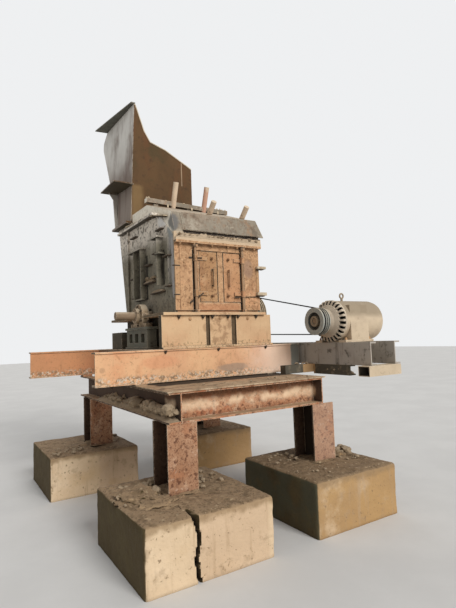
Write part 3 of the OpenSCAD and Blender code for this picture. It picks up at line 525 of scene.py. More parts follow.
def rusty(name, low, high, dust, orange, side):
    """Rusted section steel with fine flakes and pale dust, and painted shade on the faces that
    look along X.
    """
    paint = Paint(name, 0.9)
    paint.base(low, high, 4)
    paint.mottles(
        (orange, 5, 0.5, 0.64, 0.6),
        (dust, 9, 0.54, 0.68, 0.7),
        ((124, 82, 58), 38, 0.5, 0.62, 0.75),
        ((92, 56, 40), 26, 0.54, 0.61, 0.8),
        ((86, 54, 38), 75, 0.55, 0.64, 0.75),
        ((222, 190, 164), 19, 0.58, 0.68, 0.6),
        (dust, 55, 0.6, 0.68, 0.6))
    # Painted shade on the faces that look along X
    paint.sides(side, 0.95)
    return paint


def finish_rust(paint):
    """The last layers of rusted section steel."""
    paint.crevices(GRIME_AND_SHADE, 0.08, 0.85)
    paint.dust_on_tops((166, 142, 112), 0.9)
    paint.worn_edges(EDGE, 0.006, 0.95)
    paint.rough(0.6, 0.005, 45)
    return paint


def lower_beam_paint():
    """Lower beams: painted shade under the top flange, and a painted highlight along the web,
    broken by noise.
    """
    paint = rusty("lower_beam_finish", (168, 112, 78), (190, 142, 106), (206, 176, 146),
                  (170, 92, 56), (74, 60, 48))
    # Painted shade under the top flange
    paint.band((112, 78, 54), 0.03, 0.1, 0.7, y=(-1.1, -0.9), z=(1.085, 1.16))
    # Painted highlight along the web, broken by noise
    painted_highlight = paint.zone(0.03, 0.09, 1.0, y=(-1.1, -0.9), z=(1.01, 1.08))
    paint.broken(painted_highlight, (234, 204, 168), 7, 0.34, 0.56, 0.9)
    return finish_rust(paint)


def concrete_paint():
    """Cast concrete: cream front, drip stains, painted shade on the faces that look to -X, and
    soil on top.
    """
    paint = Paint("concrete_finish", 0.95)
    paint.base((210, 184, 150), (222, 196, 162), 2.2)
    right = paint.along("X", 0.0, 0.1, 0.8, 0.3, 4)
    paint.lay(right, (158, 120, 70))
    paint.band((198, 168, 138), 0.02, 0.06, 0.5, x=(-0.955, -0.4))
    paint.mottles(
        ((190, 152, 100), 1.6, 0.5, 0.66, 0.4),
        ((236, 214, 184), 2.3, 0.54, 0.7, 0.35),
        ((176, 148, 116), 5, 0.52, 0.68, 0.6, (3, 3, 0.3)),
        ((168, 142, 112), 9, 0.55, 0.68, 0.5),
        ((128, 104, 76), 36, 0.6, 0.68, 0.8))
    paint.lay(paint.along("Z", 0.35, 0.41, 0.8, 0.1, 12), (146, 120, 88))
    # Painted shade on the faces that look to -X, greyer on the right plinths and broken by noise
    paint.sides((66, 54, 26), 0.95, False)
    shaded = paint.faces("X", -0.45, -0.8)
    paint.lay(paint.times(right, shaded), (80, 80, 64))
    paint.broken(shaded, (92, 80, 52), 7, 0.48, 0.62, 0.5)
    paint.crevices((44, 34, 24), 0.05, 0.95)
    top = paint.faces("Z", 0.45, 0.8, 0.95)
    paint.lay(top, (146, 122, 94))
    paint.broken(top, (112, 92, 68), 16, 0.48, 0.64, 0.8)
    paint.lay(paint.times(paint.times(top, right), 0.5), (106, 86, 62))
    paint.broken(top, (186, 164, 132), 26, 0.58, 0.68, 0.8)
    paint.broken(top, (74, 57, 40), 58, 0.56, 0.64, 0.8)
    paint.rough(0.8, 0.006, 70, 12)
    return paint


def chute_paint():
    """Feed chute: brown rust on the front and back, grey wear and pale dust on the left, painted
    shade on the undersides.
    """
    paint = Paint("chute_finish", 0.8)
    paint.base((78, 56, 31), (94, 68, 40), 2.0, (1, 1, 0.6))
    paint.mottles(
        ((98, 64, 36), 2.4, 0.46, 0.62, 0.7, (2, 2, 0.5)),
        ((72, 60, 34), 3.0, 0.52, 0.68, 0.7),
        ((62, 44, 28), 18, 0.54, 0.68, 0.5))
    left = paint.faces("X", -0.5, -0.8)
    paint.lay(left, (151, 138, 127))
    streaks = paint.window(paint.noise(5, 6, 0.6, (2, 2, 0.25)), 0.42, 0.64, 0.75)
    paint.lay(paint.times(left, streaks), (118, 100, 92))
    high = paint.times(left, paint.along("Z", 3.35, 4.05, 1.0, 0.5, 3))
    clouds = paint.window(paint.noise(4.5, 6, 0.6, (1, 1, 0.35)), 0.25, 0.55)
    paint.lay(paint.times(high, clouds), (226, 222, 214))
    paint.band((142, 114, 74), 0.03, 0.05, 0.8, x=(-0.5, -0.37), y=(0.69, 0.72), z=(2.95, 3.39))
    paint.band((206, 180, 150), 0.004, 0.006, 0.9, x=(0.148, 0.16), y=(0.69, 0.7), z=(3.46, 3.76))
    paint.band((160, 146, 132), 0.01, 0.02, 0.8, x=(-0.545, -0.505), y=(0.69, 0.72), z=(2.93, 3.8))
    paint.band((176, 170, 160), 0.005, 0.01, 0.9, x=(-0.75, -0.546), y=(1.06, 1.1), z=(2.93, 3.36))
    # Painted shade on the undersides
    paint.lay(paint.faces("Z", -0.5, -0.8, 0.95), (66, 58, 42))
    paint.broken(paint.faces("Y", 0.4, 0.8, 0.7), (134, 112, 92), 3, 0.35, 0.6)
    paint.crevices(GRIME_AND_SHADE, 0.06, 0.7)
    paint.dust_on_tops(DUST_GREY, 0.6)
    paint.worn_edges((214, 204, 188), 0.005, 0.9)
    paint.rough(0.4, 0.003, 50)
    return paint


def motor_frame_paint():
    """Motor frame's crosspieces: a pale front box, painted black shade inside it, and dark ones
    behind.
    """
    paint = cast("cross_box_finish", (190, 170, 142), (204, 184, 156), 0.4)
    dark = paint.along("Y", -1.36, -1.35)
    paint.lay(dark, (84, 78, 66))
    paint.broken(dark, (132, 118, 96), 16, 0.52, 0.66, 0.6)
    paint.band((176, 140, 98), 0.006, 0.02, 0.9, x=(0.768, 0.94), y=(-0.72, -0.6))
    # Painted shade: black inside the front box
    paint.band((20, 16, 12), 0.004, y=(-1.494, -1.376), z=(1.171, 1.251), x=(0.8, 1.3))
    return paint


def pulley_paint():
    """Motor's pulley: painted shade in the hollow of its face, with a dusty hub."""
    paint = cast("motor_pulley_finish", (154, 156, 148), (168, 168, 158), 0.2, 0.3)
    # Painted shade in the hollow of the face
    face = paint.along("X", 0.75, 0.74)
    paint.lay(paint.times(paint.disc(MOTOR_AXIS, 0.088), face), (36, 30, 24))
    paint.lay(paint.disc(MOTOR_AXIS, 0.053), (142, 126, 104))
    return paint


def shield_paint():
    """Motor's end shield: painted black shade behind its air slots."""
    paint = cast("motor_shield_finish", (180, 164, 144), (196, 180, 158), 0.3, 0.3)
    # Painted shade behind the air slots
    inside = paint.zone(0.002, x=(0.902, 0.95))
    paint.lay(paint.times(paint.disc(MOTOR_AXIS, 0.199), inside), (14, 11, 9))
    return paint


def plain(name, colour, roughness, spots, amount=0.6, dust=0.5):
    """A small piece's finish: one colour with spots and dust."""
    paint = Paint(name, roughness)
    paint.base(colour, linear(colour, 0.8), 20)
    paint.mottle(spots, 35, 0.52, 0.66, amount)
    paint.dust_on_tops(DUST_GREY, dust)
    paint.rough(0.5, 0.002, 90)
    return paint.done()


def paint_nodes(paint, *names):
    """Gives CAD nodes a finish."""
    material = paint.done()
    for name in names:
        mesh = NODES[name].data
        mesh.materials.clear()
        mesh.materials.append(material)


def finish_cad_nodes():
    """A finish for each CAD node that stays in sight."""
    paint_nodes(wall_paint(), "front_wall")
    paint_nodes(door_paint(), "door_left", "door_right")
    paint_nodes(base_paint(), "crusher_base")
    paint_nodes(hood_paint(), "hood")
    paint_nodes(beam_paint("front_beam_finish", (226, 180, 136), (216, 164, 124), 0.6, True),
                "upper_beam_front")
    paint_nodes(beam_paint("upper_beam_finish", (208, 148, 104), (194, 138, 98), 0.6),
                "upper_beam_rear", "upper_beam_left", "upper_beam_right")
    paint_nodes(side_wall_paint(), "side_wall_left", "side_wall_right")
    rear = dark_plate("inner_finish", (124, 112, 96), (142, 130, 110))
    rear.rough(0.5, 0.004)
    paint_nodes(rear, "rear_wall", "impact_aprons")
    stand = dark_plate("pedestal_finish", (92, 91, 79), (104, 102, 88), 0.15, 0.7, 0.2)
    stand.rough(0.4, 0.003)
    paint_nodes(stand, "pedestal_left", "pedestal_right", "rotor")
    paint_nodes(cast("hinge_rod_finish", (170, 138, 106), (150, 118, 88)), "hinge_rods")
    steel = dark_plate("motor_beam_finish", (178, 170, 158), (168, 160, 150), 0.15, 0.8, 0.1)
    steel.rough(0.4, 0.003)
    paint_nodes(steel, "motor_beam_left", "motor_beam_right")
    paint_nodes(motor_frame_paint(), "motor_frame_crosspieces")
    bearing = cast("bearing_finish", (178, 156, 128), (122, 104, 80), 0.7, 1.0)
    bearing.mottle((66, 52, 38), 17, 0.54, 0.62, 0.8)
    bearing.mottle((222, 202, 178), 22, 0.6, 0.68, 0.6)
    paint_nodes(bearing, "bearing_left", "bearing_right")
    paint_nodes(cast("driven_pulley_finish", (156, 136, 110), (174, 154, 126)), "driven_pulley")
    motor = cast("motor_finish", (206, 186, 158), (192, 172, 146), 0.4, 0.35)
    # Painted shade: the top of the motor greyer and darker
    over = motor.along("Z", 1.69, 1.76, 0.85, 0.06)
    motor.lay(over, (146, 130, 108))
    motor.broken(over, (166, 150, 126), 8, 0.5, 0.64, 0.6)
    paint_nodes(motor, "motor_body")
    paint_nodes(pulley_paint(), "motor_pulley")
    paint_nodes(shield_paint(), "motor_end_shield")
    rods = cast("adjusting_rod_finish", (220, 196, 168), (208, 184, 158), 0.2, 0.5)
    rods.band((200, 150, 126), x=(0.1, 0.24), y=(0.1, 1.0), amount=0.8)
    paint_nodes(rods, "adjusting_rods")
    paint_nodes(cast("shaft_finish", (148, 126, 102), (134, 113, 90), 0.3, 0.4),
                "rotor_shaft", "motor_shaft")
    post = rusty("post_finish", (174, 134, 104), (160, 118, 88), (200, 164, 134),
                 (172, 116, 82), (36, 29, 20))
    # Painted shade on everything behind each post's front flange
    for low, high in ((-1.165, 0.7), (0.868, 1.3)):
        post.band((44, 34, 24), y=(low, high), amount=0.85)
    post.band((196, 168, 150), x=(0.3, 0.9), y=(-1.4, -1.165), amount=0.2)
    paint_nodes(finish_rust(post), "post_front_left", "post_front_right", "post_rear_left",
                "post_rear_right")
    paint_nodes(lower_beam_paint(), "lower_beam_left", "lower_beam_right", "lower_beam_front",
                "lower_beam_rear")
    deck = tan_plate("deck_finish", (176, 150, 120), (156, 132, 104), 0.2)
    deck.mottle((112, 92, 70), 6, 0.54, 0.68, 0.6)
    deck.mottle((66, 52, 38), 13, 0.5, 0.64, 0.6)
    # Painted shadow on the deck under and just in front of the front upper beam
    deck.band((32, 24, 16), 0.025, 0.09, 0.95, x=(-0.84, 0.68), y=(-0.76, 0.3))
    paint_nodes(finish_plate(deck, 0.0, 0.008), "deck_plate")
    paint_nodes(chute_paint(), "feed_chute")
    lid = dark_plate("lid_finish", (88, 88, 80), (98, 96, 86), 0.1)
    lid.rough(0.4, 0.003)
    paint_nodes(lid, "chute_lid")
    belt = Paint("belt_finish", 0.8)
    belt.base((20, 18, 16), (30, 27, 24), 12)
    belt.mottle((84, 72, 58), 20, 0.62, 0.74, 0.5)
    belt.rough(0.3, 0.001)
    paint_nodes(belt, "drive_belt")


def piece(name, body, material, mesh, smooth=0.0):
    """A new object from a bmesh, which rides on a body and takes a material."""
    data = bpy.data.meshes.new(name)
    bmesh.ops.recalc_face_normals(mesh, faces=mesh.faces)
    mesh.to_mesh(data)
    mesh.free()
    data.materials.append(material)
    obj = bpy.data.objects.new(name, data)
    bpy.context.collection.objects.link(obj)
    if smooth:
        data.shade_smooth()
        edge = obj.modifiers.new("edges", "EDGE_SPLIT")
        edge.split_angle = math.radians(smooth)
    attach(obj, body)
    return obj


def facing(direction):
    """Rotation that turns +Z to a direction."""
    return Vector(direction).to_track_quat("Z", "Y").to_matrix().to_4x4()


def add_disc(mesh, at, direction, radius, height, sides, turn=0.0, top=1.0):
    """A prism or cone frustum that stands on a point."""
    place = Matrix.Translation(at) @ facing(direction) @ Matrix.Rotation(turn, 4, "Z")
    bmesh.ops.create_cone(
        mesh, cap_ends=True, segments=sides, radius1=radius, radius2=radius * top, depth=height,
        matrix=place @ Matrix.Translation((0, 0, height / 2)))


def add_box(mesh, low, high, bevel):
    """A box between two corners, with bevelled edges unless bevel is 0; in millimetres."""
    low, high = MM * Vector(low), MM * Vector(high)
    place = Matrix.Translation((low + high) / 2) @ Matrix.Diagonal((*(high - low), 1))
    made = bmesh.ops.create_cube(mesh, size=1, matrix=place)["verts"]
    if bevel:
        edges = {e for v in made for e in v.link_edges}
        bmesh.ops.bevel(mesh, geom=list(edges), offset=bevel * MM, segments=1, affect="EDGES")


def add_bar(mesh, first, last, width, thick, out=OUT):
    """A flat bar between two points in millimetres; out is its thin way."""
    first, last, out = MM * Vector(first), MM * Vector(last), Vector(out)
    along = (last - first).normalized()
    across = along.cross(out).normalized() * width * MM / 2
    out = across.cross(along).normalized() * thick * MM / 2
    corners = [mesh.verts.new(p + a * across + o * out)
               for p in (first, last) for a, o in ((-1, -1), (1, -1), (1, 1), (-1, 1))]
    for i in range(4):
        j = (i + 1) % 4
        mesh.faces.new([corners[i], corners[j], corners[j + 4], corners[i + 4]])
    mesh.faces.new(corners[3::-1])
    mesh.faces.new(corners[4:])


def add_bolt(mesh, at, direction, size, head, stub):
    """Washer, hexagon and end of thread, on a face; at and sizes are in millimetres."""
    way = Vector(direction).normalized()
    at = MM * Vector(at)
    size, head, stub = MM * size, MM * head, MM * stub
    add_disc(mesh, at, way, size * 1.25, WASHER, 16)
    add_disc(mesh, at + way * WASHER, way, size, head, 6, BOLT_TURN, 0.96)
    add_disc(mesh, at + way * (WASHER + head), way, size * 0.55, stub, 10, 0, 0.85)


def add_stone(mesh, at, size, draw):
    """A broken, flat stone: an icosphere pushed about by noise."""
    made = bmesh.ops.create_icosphere(mesh, subdivisions=2, radius=1.0)["verts"]
    turn = Matrix.Rotation(draw.uniform(0, 6.28), 3, "Z")
    turn = turn @ Matrix.Rotation(draw.uniform(-0.4, 0.4), 3, "X")
    stretch = (draw.uniform(0.8, 1.3), draw.uniform(0.7, 1.1), 0.7 * draw.uniform(0.8, 1.1))
    shift = Vector((draw.uniform(0, 90), draw.uniform(0, 90), draw.uniform(0, 90)))
    for vert in made:
        push = 1 + 0.5 * noise.noise(vert.co * 1.6 + shift)
        moved = [c * s * size * push for c, s in zip(vert.co, stretch)]
        vert.co = Vector(at) + turn @ Vector(moved)


def add_stones(mesh, low, high, count, size, seed):
    """Stones strewn between two corners in millimetres, more of them small than large."""
    draw = random.Random(seed)
    for _ in range(count):
        grade = size * MM * (0.3 + 0.9 * draw.random() ** 2)
        at = [MM * draw.uniform(l, h) for l, h in zip(low, high)]
        add_stone(mesh, (at[0], at[1], at[2] + 0.35 * grade), grade, draw)


def add_bank(mesh, start, end, inward, depth, height, seed, steps):
    """A lumpy bank of dust along a line in millimetres, which rises inwards; closed all round."""
    start, end, inward = MM * Vector(start), MM * Vector(end), Vector(inward)
    rings = []
    for i in range(steps + 1):
        share = i / steps
        point = start.lerp(end, share)
        fade = min(1.0, 6 * share, 6 * (1 - share)) ** 0.5
        ring = []
        for part, rise in BANK_PROFILE:
            lump = noise.noise(Vector((point.x * 9 + seed, point.y * 9 + part, part * 2.0)))
            fine = noise.noise(Vector((point.x * 40, point.y * 40 + seed, part * 5.0)))
            up = rise * height * MM * fade * max(0.1, 0.75 + 0.6 * lump + 0.25 * fine)
            back = inward * (part * depth * MM)
            ring.append(mesh.verts.new(point + back + Vector((0, 0, up))))
        rings.append(ring)
    for first, last in zip(rings, rings[1:]):
        for i in range(len(BANK_PROFILE)):
            j = (i + 1) % len(BANK_PROFILE)
            mesh.faces.new([first[i], first[j], last[j], last[i]])
    mesh.faces.new(rings[0])
    mesh.faces.new(rings[-1])


def add_mound(mesh, at, size, height, seed):
    """A low heap of soil on a level face, in millimetres."""
    at, size = MM * Vector(at), MM * Vector(size)
    made = bmesh.ops.create_icosphere(mesh, subdivisions=4, radius=1.0)["verts"]
    for vert in made:
        lump = 1 + 0.45 * noise.noise(vert.co * 2.2 + Vector((seed, 0, 0)))
        rough = 0.35 * noise.noise(vert.co * 7 + Vector((0, seed, 0)))
        rough += 0.15 * noise.noise(vert.co * 17)
        up = max(0.0, vert.co.z) * (lump + rough) * height * MM
        vert.co = at + Vector((vert.co.x * size.x * lump, vert.co.y * size.y * lump, up))


def lamps_and_floor():
    """The suns, the sky and a pale floor."""
    sun("key", **KEY_SUN)
    sun("back", **BACK_SUN)
    sky()
    mesh = bmesh.new()
    bmesh.ops.create_grid(mesh, x_segments=1, y_segments=1, size=FLOOR_SIZE)
    data = bpy.data.meshes.new("floor")
    mesh.to_mesh(data)
    mesh.free()
    paint = Paint("floor_finish", 0.9)
    paint.base((206, 204, 200), (212, 210, 206), 1.2)
    data.materials.append(paint.done())
    floor = bpy.data.objects.new("floor", data)
    bpy.context.collection.objects.link(floor)


def block(node, name, material, crack=None):
    """A rough concrete block with broken edges in place of a plinth, perhaps with a crack."""
    low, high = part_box(node)
    cell = FINE_CELL if crack else CELL
    mesh = bmesh.new()
    size = high - low
    counts = [max(2, round(s / cell)) for s in size]
    grid = {}

    def at(*key):
        if key not in grid:
            shares = zip(low, size, key, counts)
            grid[key] = mesh.verts.new([l + s * n / c for l, s, n, c in shares])
        return grid[key]

    for first, second, third in ((0, 1, 2), (0, 2, 1), (1, 2, 0)):
        for a in range(counts[first]):
            for b in range(counts[second]):
                for end in (0, counts[third]):
                    key = [end] * 3
                    corners = []
                    for right, up in ((0, 0), (1, 0), (1, 1), (0, 1)):
                        key[first], key[second] = a + right, b + up
                        corners.append(at(*key))
                    mesh.faces.new(corners)
    for vert in mesh.verts:
        vert.co = worn(vert.co, low, high)
        if crack:
            vert.co = crack(vert.co, low)
    obj = piece(name, "plant", material, mesh, BLOCK_ROUND)
    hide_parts(node)


def worn(point, low, high):
    """A point of a box moved inwards to a rounded, chipped face, with soil on the top."""
    ragged = noise.noise(point * 6) * 0.5 + noise.noise(point * 19) * 0.3 + 0.5
    radius = EDGE_LEAST + EDGE_MORE * max(0.0, min(1.0, ragged))
    inner = Vector((
        min(max(point.x, low.x + radius), high.x - radius),
        min(max(point.y, low.y + radius), high.y - radius),
        min(point.z, high.z - radius)))
    out = point - inner
    if out.length > 1e-6:
        top = out.z > 0.9 * radius
        point = inner + out.normalized() * min(radius, out.length)
        dent = 0.0025 * (1 + noise.noise(point * 9)) + 0.0015 * (1 + noise.noise(point * 40))
        point = point - out.normalized() * dent
        if top:
            rim = min(point.x - low.x, high.x - point.x, point.y - low.y, high.y - point.y)
            heap = max(0.0, 0.3 + noise.noise(point * 5)) * SOIL_LUMP
            heap += 0.005 * noise.noise(point * 24)
            point.z += heap * min(1.0, rim / SOIL_RIM)
        point.z = max(point.z, low.z)
    return point


def front_crack(point, low):
    """The crack in the front face: a jagged groove that runs from the top edge to the floor."""
    depth_in = point.y - low.y
    if depth_in > CRACK_REACH:
        return point
    height = point.z
    middle = CRACK[-1][1]
    for (z0, x0), (z1, x1) in zip(CRACK, CRACK[1:]):
        if z0 <= height <= z1:
            middle = x0 + (x1 - x0) * (height - z0) / (z1 - z0)
    middle += 0.007 * noise.noise((height * 30, 0, 0))
    half = CRACK_HALF + 0.014 * max(0, (height - 0.34) / 0.1)
    half += 0.005 * noise.noise((height * 45, 4, 0))
    off = abs(point.x - middle) / half
    if off < 1:
        point = Vector((point.x, point.y + CRACK_DEPTH * (1 - off ** 3), point.z))
        if depth_in < 0.05 and height > low.z + 0.36:
            point.z -= 0.035 * (1 - off)
    return point


def plinths(finish):
    """The four plinths; only the front left one is cracked."""
    block("plinth_front_left", "block_front_left", finish, front_crack)
    for place in ("front_right", "rear_left", "rear_right"):
        block("plinth_" + place, "block_" + place, finish)


def row(xs, y, z):
    """Places along X."""
    return [(x, y, z) for x in xs]


def bolts(name, body, material, slot, *groups):
    """A piece of bolts; each group has places, the way its bolts face, and add_bolt's sizes."""
    mesh = bmesh.new()
    for places, way, *sizes in groups:
        for place in places:
            add_bolt(mesh, place, way, *sizes)
    piece(name, body, material, mesh, BOLT_ROUND)


def boxes(name, material, slot, bevel, *corners):
    """A piece of boxes on the fixed plant, between pairs of corners."""
    mesh = bmesh.new()
    for low, high in corners:
        add_box(mesh, low, high, bevel)
    piece(name, "plant", material, mesh)


def fasteners(dark, pale, tan):
    """Bolts of the flange, frame and front wall, and the studs along the ridge."""
    bolts("flange_bolts", "plant", dark, "dark_steel",
          (row((-524, -273, -169, 6, 123, 342), -512, 1780), DOWN, 14.5, 18, 14),
          (row((-668, -117, 443), -514, 1461), DOWN, 13, 16, 8),
          (row((-1150, -900, 240, 690), -470, 1184), DOWN, 13, 12, 14))
    rim = (-481, -333, -135, 49, 157, 367)
    spots = ((-381, 1952), (-434, 2284), (-394, 1905), (300, 1952), (330, 2284), (366, 1905))
    bolts("front_bolts", "plant", tan, "dusty_steel",
          (row(rim, -486, 2466), DOWN, 12, 11, 6),
          (row(rim, -486, 2510), UP, 12, 9, 4),
          (((-408, -500, 1742), (-82, -500, 1750), (241, -500, 1742)), OUT, 13, 6, 4),
          ([(x, -462, z) for x, z in spots], OUT, 10, 6, 3))
    studs = bmesh.new()
    ridge = 1000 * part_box("hood")[1].z
    slope = math.tan(math.radians(HOOD_FALL))
    for x, tall in ((-520, 26), (-496, 34), (-298, 22), (-79, 18), (351, 30), (392, 34), (418, 26),
                    (462, 30)):
        z = ridge - (x + 528) * slope - 1
        add_bolt(studs, (x, 204, z), UP, 11, 9, tall - 22)
    for x in (-286, 8, 348):
        add_box(studs, (x - 9, 177, 2996), (x + 9, 184, 3030), 2)
    piece("ridge_studs", "plant", pale, studs, BOLT_ROUND)


def drive_bolts(dark, tan):
    """Bolts of the bearings' caps and covers, and of the pedestals' and the motor's feet."""
    (y, z), radius = ROTOR_AXIS, 97
    circle = [math.radians(60 * turn + 30) for turn in range(6)]
    cover = [(y + radius * math.cos(a), z + radius * math.sin(a)) for a in circle]
    groups = []
    for node, way, face in (("bearing_left", -1, -666), ("bearing_right", 1, 566)):
        low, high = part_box(node)
        cap = 1000 * (low.x + high.x) / 2 - 26 * way
        groups.append((((cap, -30, 1732), (cap, 330, 1732)), UP, 17, 14, 12))
        groups.append(([(face, y, z) for y, z in cover], (way, 0, 0), 10, 8, 4))
    feet = [(x, y, FEET_TOP) for x in (-657.5, 557.5) for y in (-180, 386)]
    bolts("bearing_bolts", "plant", dark, "dark_steel", *groups, (feet, UP, 8, 8, 4))
    feet = [(x, y, FEET_TOP) for x in (950, 1277) for y in (-1135, -785)]
    bolts("motor_bolts", "plant", tan, "dusty_casting", (feet, UP, 13, 12, 12))


def door_fittings(dark, brown):
    """Bolt heads and hinge straps on each door; they swing with it."""
    for body, spots, straps in (
            ("left_door", ((-130, 2335), (-134, 1967)),
             (((-288, 2331), (-243, 2333)), ((-288, 1957), (-236, 1994)))),
            ("right_door", ((60, 2335), (48, 1970)),
             (((120, 1957), (186, 1960)),))):
        bolts(body + "_bolts", body, brown, "dusty_steel",
              ([(x, -464, z) for x, z in spots], OUT, 12, 8, 5))
        bars = bmesh.new()
        for (x0, z0), (x1, z1) in straps:
            add_bar(bars, (x0, -466, z0), (x1, -466, z1), 12, 9)
        piece(body + "_straps", body, dark, bars)


def wall_fittings(dark, pale, tan, backing):
    """Lugs, straps and patch plates of the front wall, and what closes the base's slots."""
    boxes("right_lugs", pale, "dusty_steel", 3,
          ((392, -500, 2256), (500, -440, 2282)), ((388, -500, 1980), (500, -440, 2012)))
    bars = bmesh.new()
    for low, high in (
            ((-553, -470, 2242), (-478, -455, 2254)), ((-545, -470, 1968), (-487, -455, 1980)),
            ((-384, -474, 2324), (-350, -458, 2338)), ((392, -500, 2246), (470, -458, 2254)),
            ((392, -500, 1968), (470, -458, 1978))):
        add_box(bars, low, high, 2)
    add_bar(bars, (-384, -468, 1898), (-350, -468, 1922), 14, 12)
    add_bar(bars, (252, -466, 1962), (432, -466, 1968), 8, 8)
    piece("wall_straps", "plant", dark, bars)
    boxes("patch_plates", tan, "dusty_steel", 2,
          ((-530, -467, 1930), (-482, -460, 2300)), ((396, -467, 2020), (428, -460, 2240)))
    boxes("slot_backs", backing, "dusty_steel", 0,
          ((-239, -482, 1488), (-197, -474, 1778)), ((48, -482, 1488), (102, -474, 1778)))


def gable_fittings(dark, pale):
    """Strips along the gables, with dark bars under them as painted shadow."""
    strips, under = bmesh.new(), bmesh.new()
    for side, x in GABLE_FACES:
        for reach, (y0, z0), (y1, z1), width, out in (
                (26, (700, 2868), (-70, 2815), 60, (0, -0.07, 1)),
                (20, (-70, 2815), (-330, 2752), 46, (0, -0.2, 1))):
            line = x + side * reach
            add_bar(strips, (line, y0, z0), (line, y1, z1), width, 9, out)
        # Dark bars under the strips: painted shadow
        line = x + side * 18
        for y0, z0, y1, z1 in (
                (690, 2858, 480, 2844), (440, 2841, 330, 2834), (290, 2831, 60, 2815),
                (20, 2812, -60, 2806), (-90, 2802, -310, 2748)):
            add_bar(under, (line, y0, z0), (line, y1, z1), 40, 15, (0, -0.07, 1))
    piece("gable_strips", "plant", pale, strips)
    piece("gable_shadow_bars", "plant", dark, under)


def side_fittings(dark, pale):
    """Brackets and shelves of the side walls, and the trim along the chute's edge."""
    brackets = ((453, 609, 2700), (-244, -99, 2640), (-134, -9, 2420), (60, 200, 2330),
                (520, 640, 2240), (-400, -260, 2350), (-400, -300, 2060), (500, 600, 2020))
    rails = bmesh.new()
    for side, x in WALL_FACES:
        for spans, reach, tall in ((brackets, 38, 14), (WALL_SHELVES, 46, SHELF_TALL)):
            near, far = sorted((x - 4 * side, x + reach * side))
            for y0, y1, z in spans:
                add_box(rails, (near, y0, z), (far, y1, z + tall), 3)
    piece("wall_brackets", "plant", dark, rails)
    trim = bmesh.new()
    points = ((-450, 4370), (-436, 4362), (-332, 4060), (-258, 3939), (-63, 3877), (286, 3694))
    for (x0, z0), (x1, z1) in zip(points, points[1:]):
        add_bar(trim, (x0, 697, z0), (x1, 697, z1), 10, 6)
    piece("chute_trim", "plant", pale, trim)


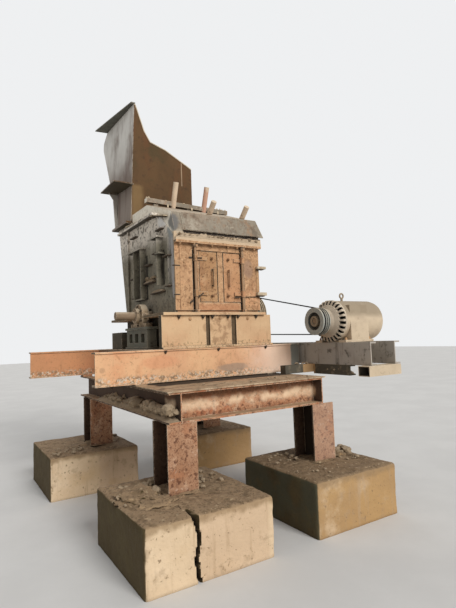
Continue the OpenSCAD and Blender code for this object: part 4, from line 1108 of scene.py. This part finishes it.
def loose_stone(dust, rubble, soil, concrete):
    """Dust, soil and broken stone that lie where the plant lets them fall."""
    banks = bmesh.new()
    add_bank(banks, (-528, -504, 2510), (440, -504, 2510), (0, 1, 0), 38, 64, 3, 110)
    add_bank(banks, (-524, 180, 3074), (470, 180, 3044.5), (0, 1, 0), 62, 20, 6, 120)
    piece("dust_banks", "plant", dust, banks, SOIL_ROUND)
    banks = bmesh.new()
    add_bank(banks, (-950, -1184, 949), (-950, 700, 949), (1, 0, 0), 84, 92, 8, 90)
    add_bank(banks, (918, -1195, 1171), (918, -706, 1171), (1, 0, 0), 60, 44, 5, 30)
    for count, (way, x) in enumerate(WALL_FACES):
        line = x + way * 44
        for (y0, y1, z), height, seed in zip(WALL_SHELVES, (52, 36), (11, 14)):
            top = z + SHELF_TALL
            add_bank(banks, (line, y0, top), (line, y1, top), (-way, 0, 0), 42, height,
                     seed + count, 20)
    piece("soil_banks", "plant", soil, banks, SOIL_ROUND)
    stones = bmesh.new()
    # Low and high corner, how many, their size and the seed
    places = (
        ((-1290, -1370, 424), (-1000, -900, 430), 20, 18, 1),
        ((-1290, -900, 424), (-760, -720, 430), 18, 20, 2),
        ((-1030, -1060, 428), (-920, -800, 440), 10, 42, 21),
        ((-946, -1150, 990), (-880, -300, 1020), 26, 52, 22),
        ((-700, -1200, 428), (-420, -760, 436), 26, 20, 3),
        ((690, -1300, 428), (940, -900, 436), 18, 20, 4),
        ((700, -1100, 430), (950, -980, 444), 14, 44, 23),
        ((110, -1000, 428), (420, -700, 436), 26, 22, 5),
        ((120, -1500, 428), (420, -1250, 432), 14, 14, 6),
        ((-946, -1160, 985), (-876, 480, 1015), 70, 30, 7),
        ((-860, -1170, 1184), (520, -1000, 1184), 22, 11, 8),
        ((924, -1160, 1190), (972, -720, 1206), 26, 22, 9),
        ((-520, -500, 2535), (430, -480, 2552), 60, 10, 10),
        ((-560, -10, 2185), (-540, 220, 2196), 12, 22, 11),
        ((-1400, 640, 428), (-1050, 900, 436), 26, 26, 12),
        ((620, -690, 1262), (890, -630, 1264), 14, 14, 13),
        ((-700, 900, 428), (-560, 1450, 436), 12, 20, 14),
        ((120, 1180, 428), (900, 1500, 436), 30, 22, 15))
    for place in places:
        add_stones(stones, *place)
    piece("loose_stones", "plant", rubble, stones)
    heaps = bmesh.new()
    for seed, (x, y) in enumerate(((-852, -1048), (558, -1048), (-852, 985), (558, 985))):
        add_mound(heaps, (x, y, PLINTH_TOP), (190, 200, 0), 30, seed * 3.7)
    add_mound(heaps, (-1130, -1010, PLINTH_TOP - 2), (170, 210, 0), 58, 20)
    add_mound(heaps, (-1080, -1240, PLINTH_TOP - 2), (150, 120, 0), 40, 31)
    add_mound(heaps, (760, -1020, PLINTH_TOP), (130, 170, 0), 40, 24)
    piece("soil_heaps", "plant", concrete, heaps, SOIL_ROUND)


def small_pieces(concrete):
    """What the scene adds to the CAD nodes, with its finishes."""
    dark = plain("dark_fitting_finish", (70, 58, 46), 0.8, (110, 92, 70))
    pale = plain("pale_fitting_finish", (206, 188, 160), 0.85, (140, 118, 92))
    tan = plain("tan_fitting_finish", (192, 152, 112), 0.85, (124, 92, 66))
    rubble = plain("rubble_finish", (160, 140, 114), 0.95, (112, 94, 72), 0.8, 0.15)
    soil = plain("soil_finish", (150, 126, 97), 0.98, (112, 92, 68), 0.8, 0.3)
    fasteners(dark, pale, tan)
    drive_bolts(dark, tan)
    brown = plain("brown_fitting_finish", (132, 96, 66), 0.85, (82, 60, 42))
    door_fittings(dark, brown)
    backing = plain("slot_back_finish", (100, 82, 61), 0.9, (72, 57, 42))
    wall_fittings(dark, pale, tan, backing)
    gable_fittings(dark, pale)
    side_fittings(dark, pale)
    dust = plain("dust_finish", (182, 160, 132), 0.95, (142, 118, 92), 0.7, 0.2)
    loose_stone(dust, rubble, soil, concrete)


look()
camera()
lamps_and_floor()
finish_cad_nodes()
concrete = concrete_paint().done()
plinths(concrete)
small_pieces(concrete)
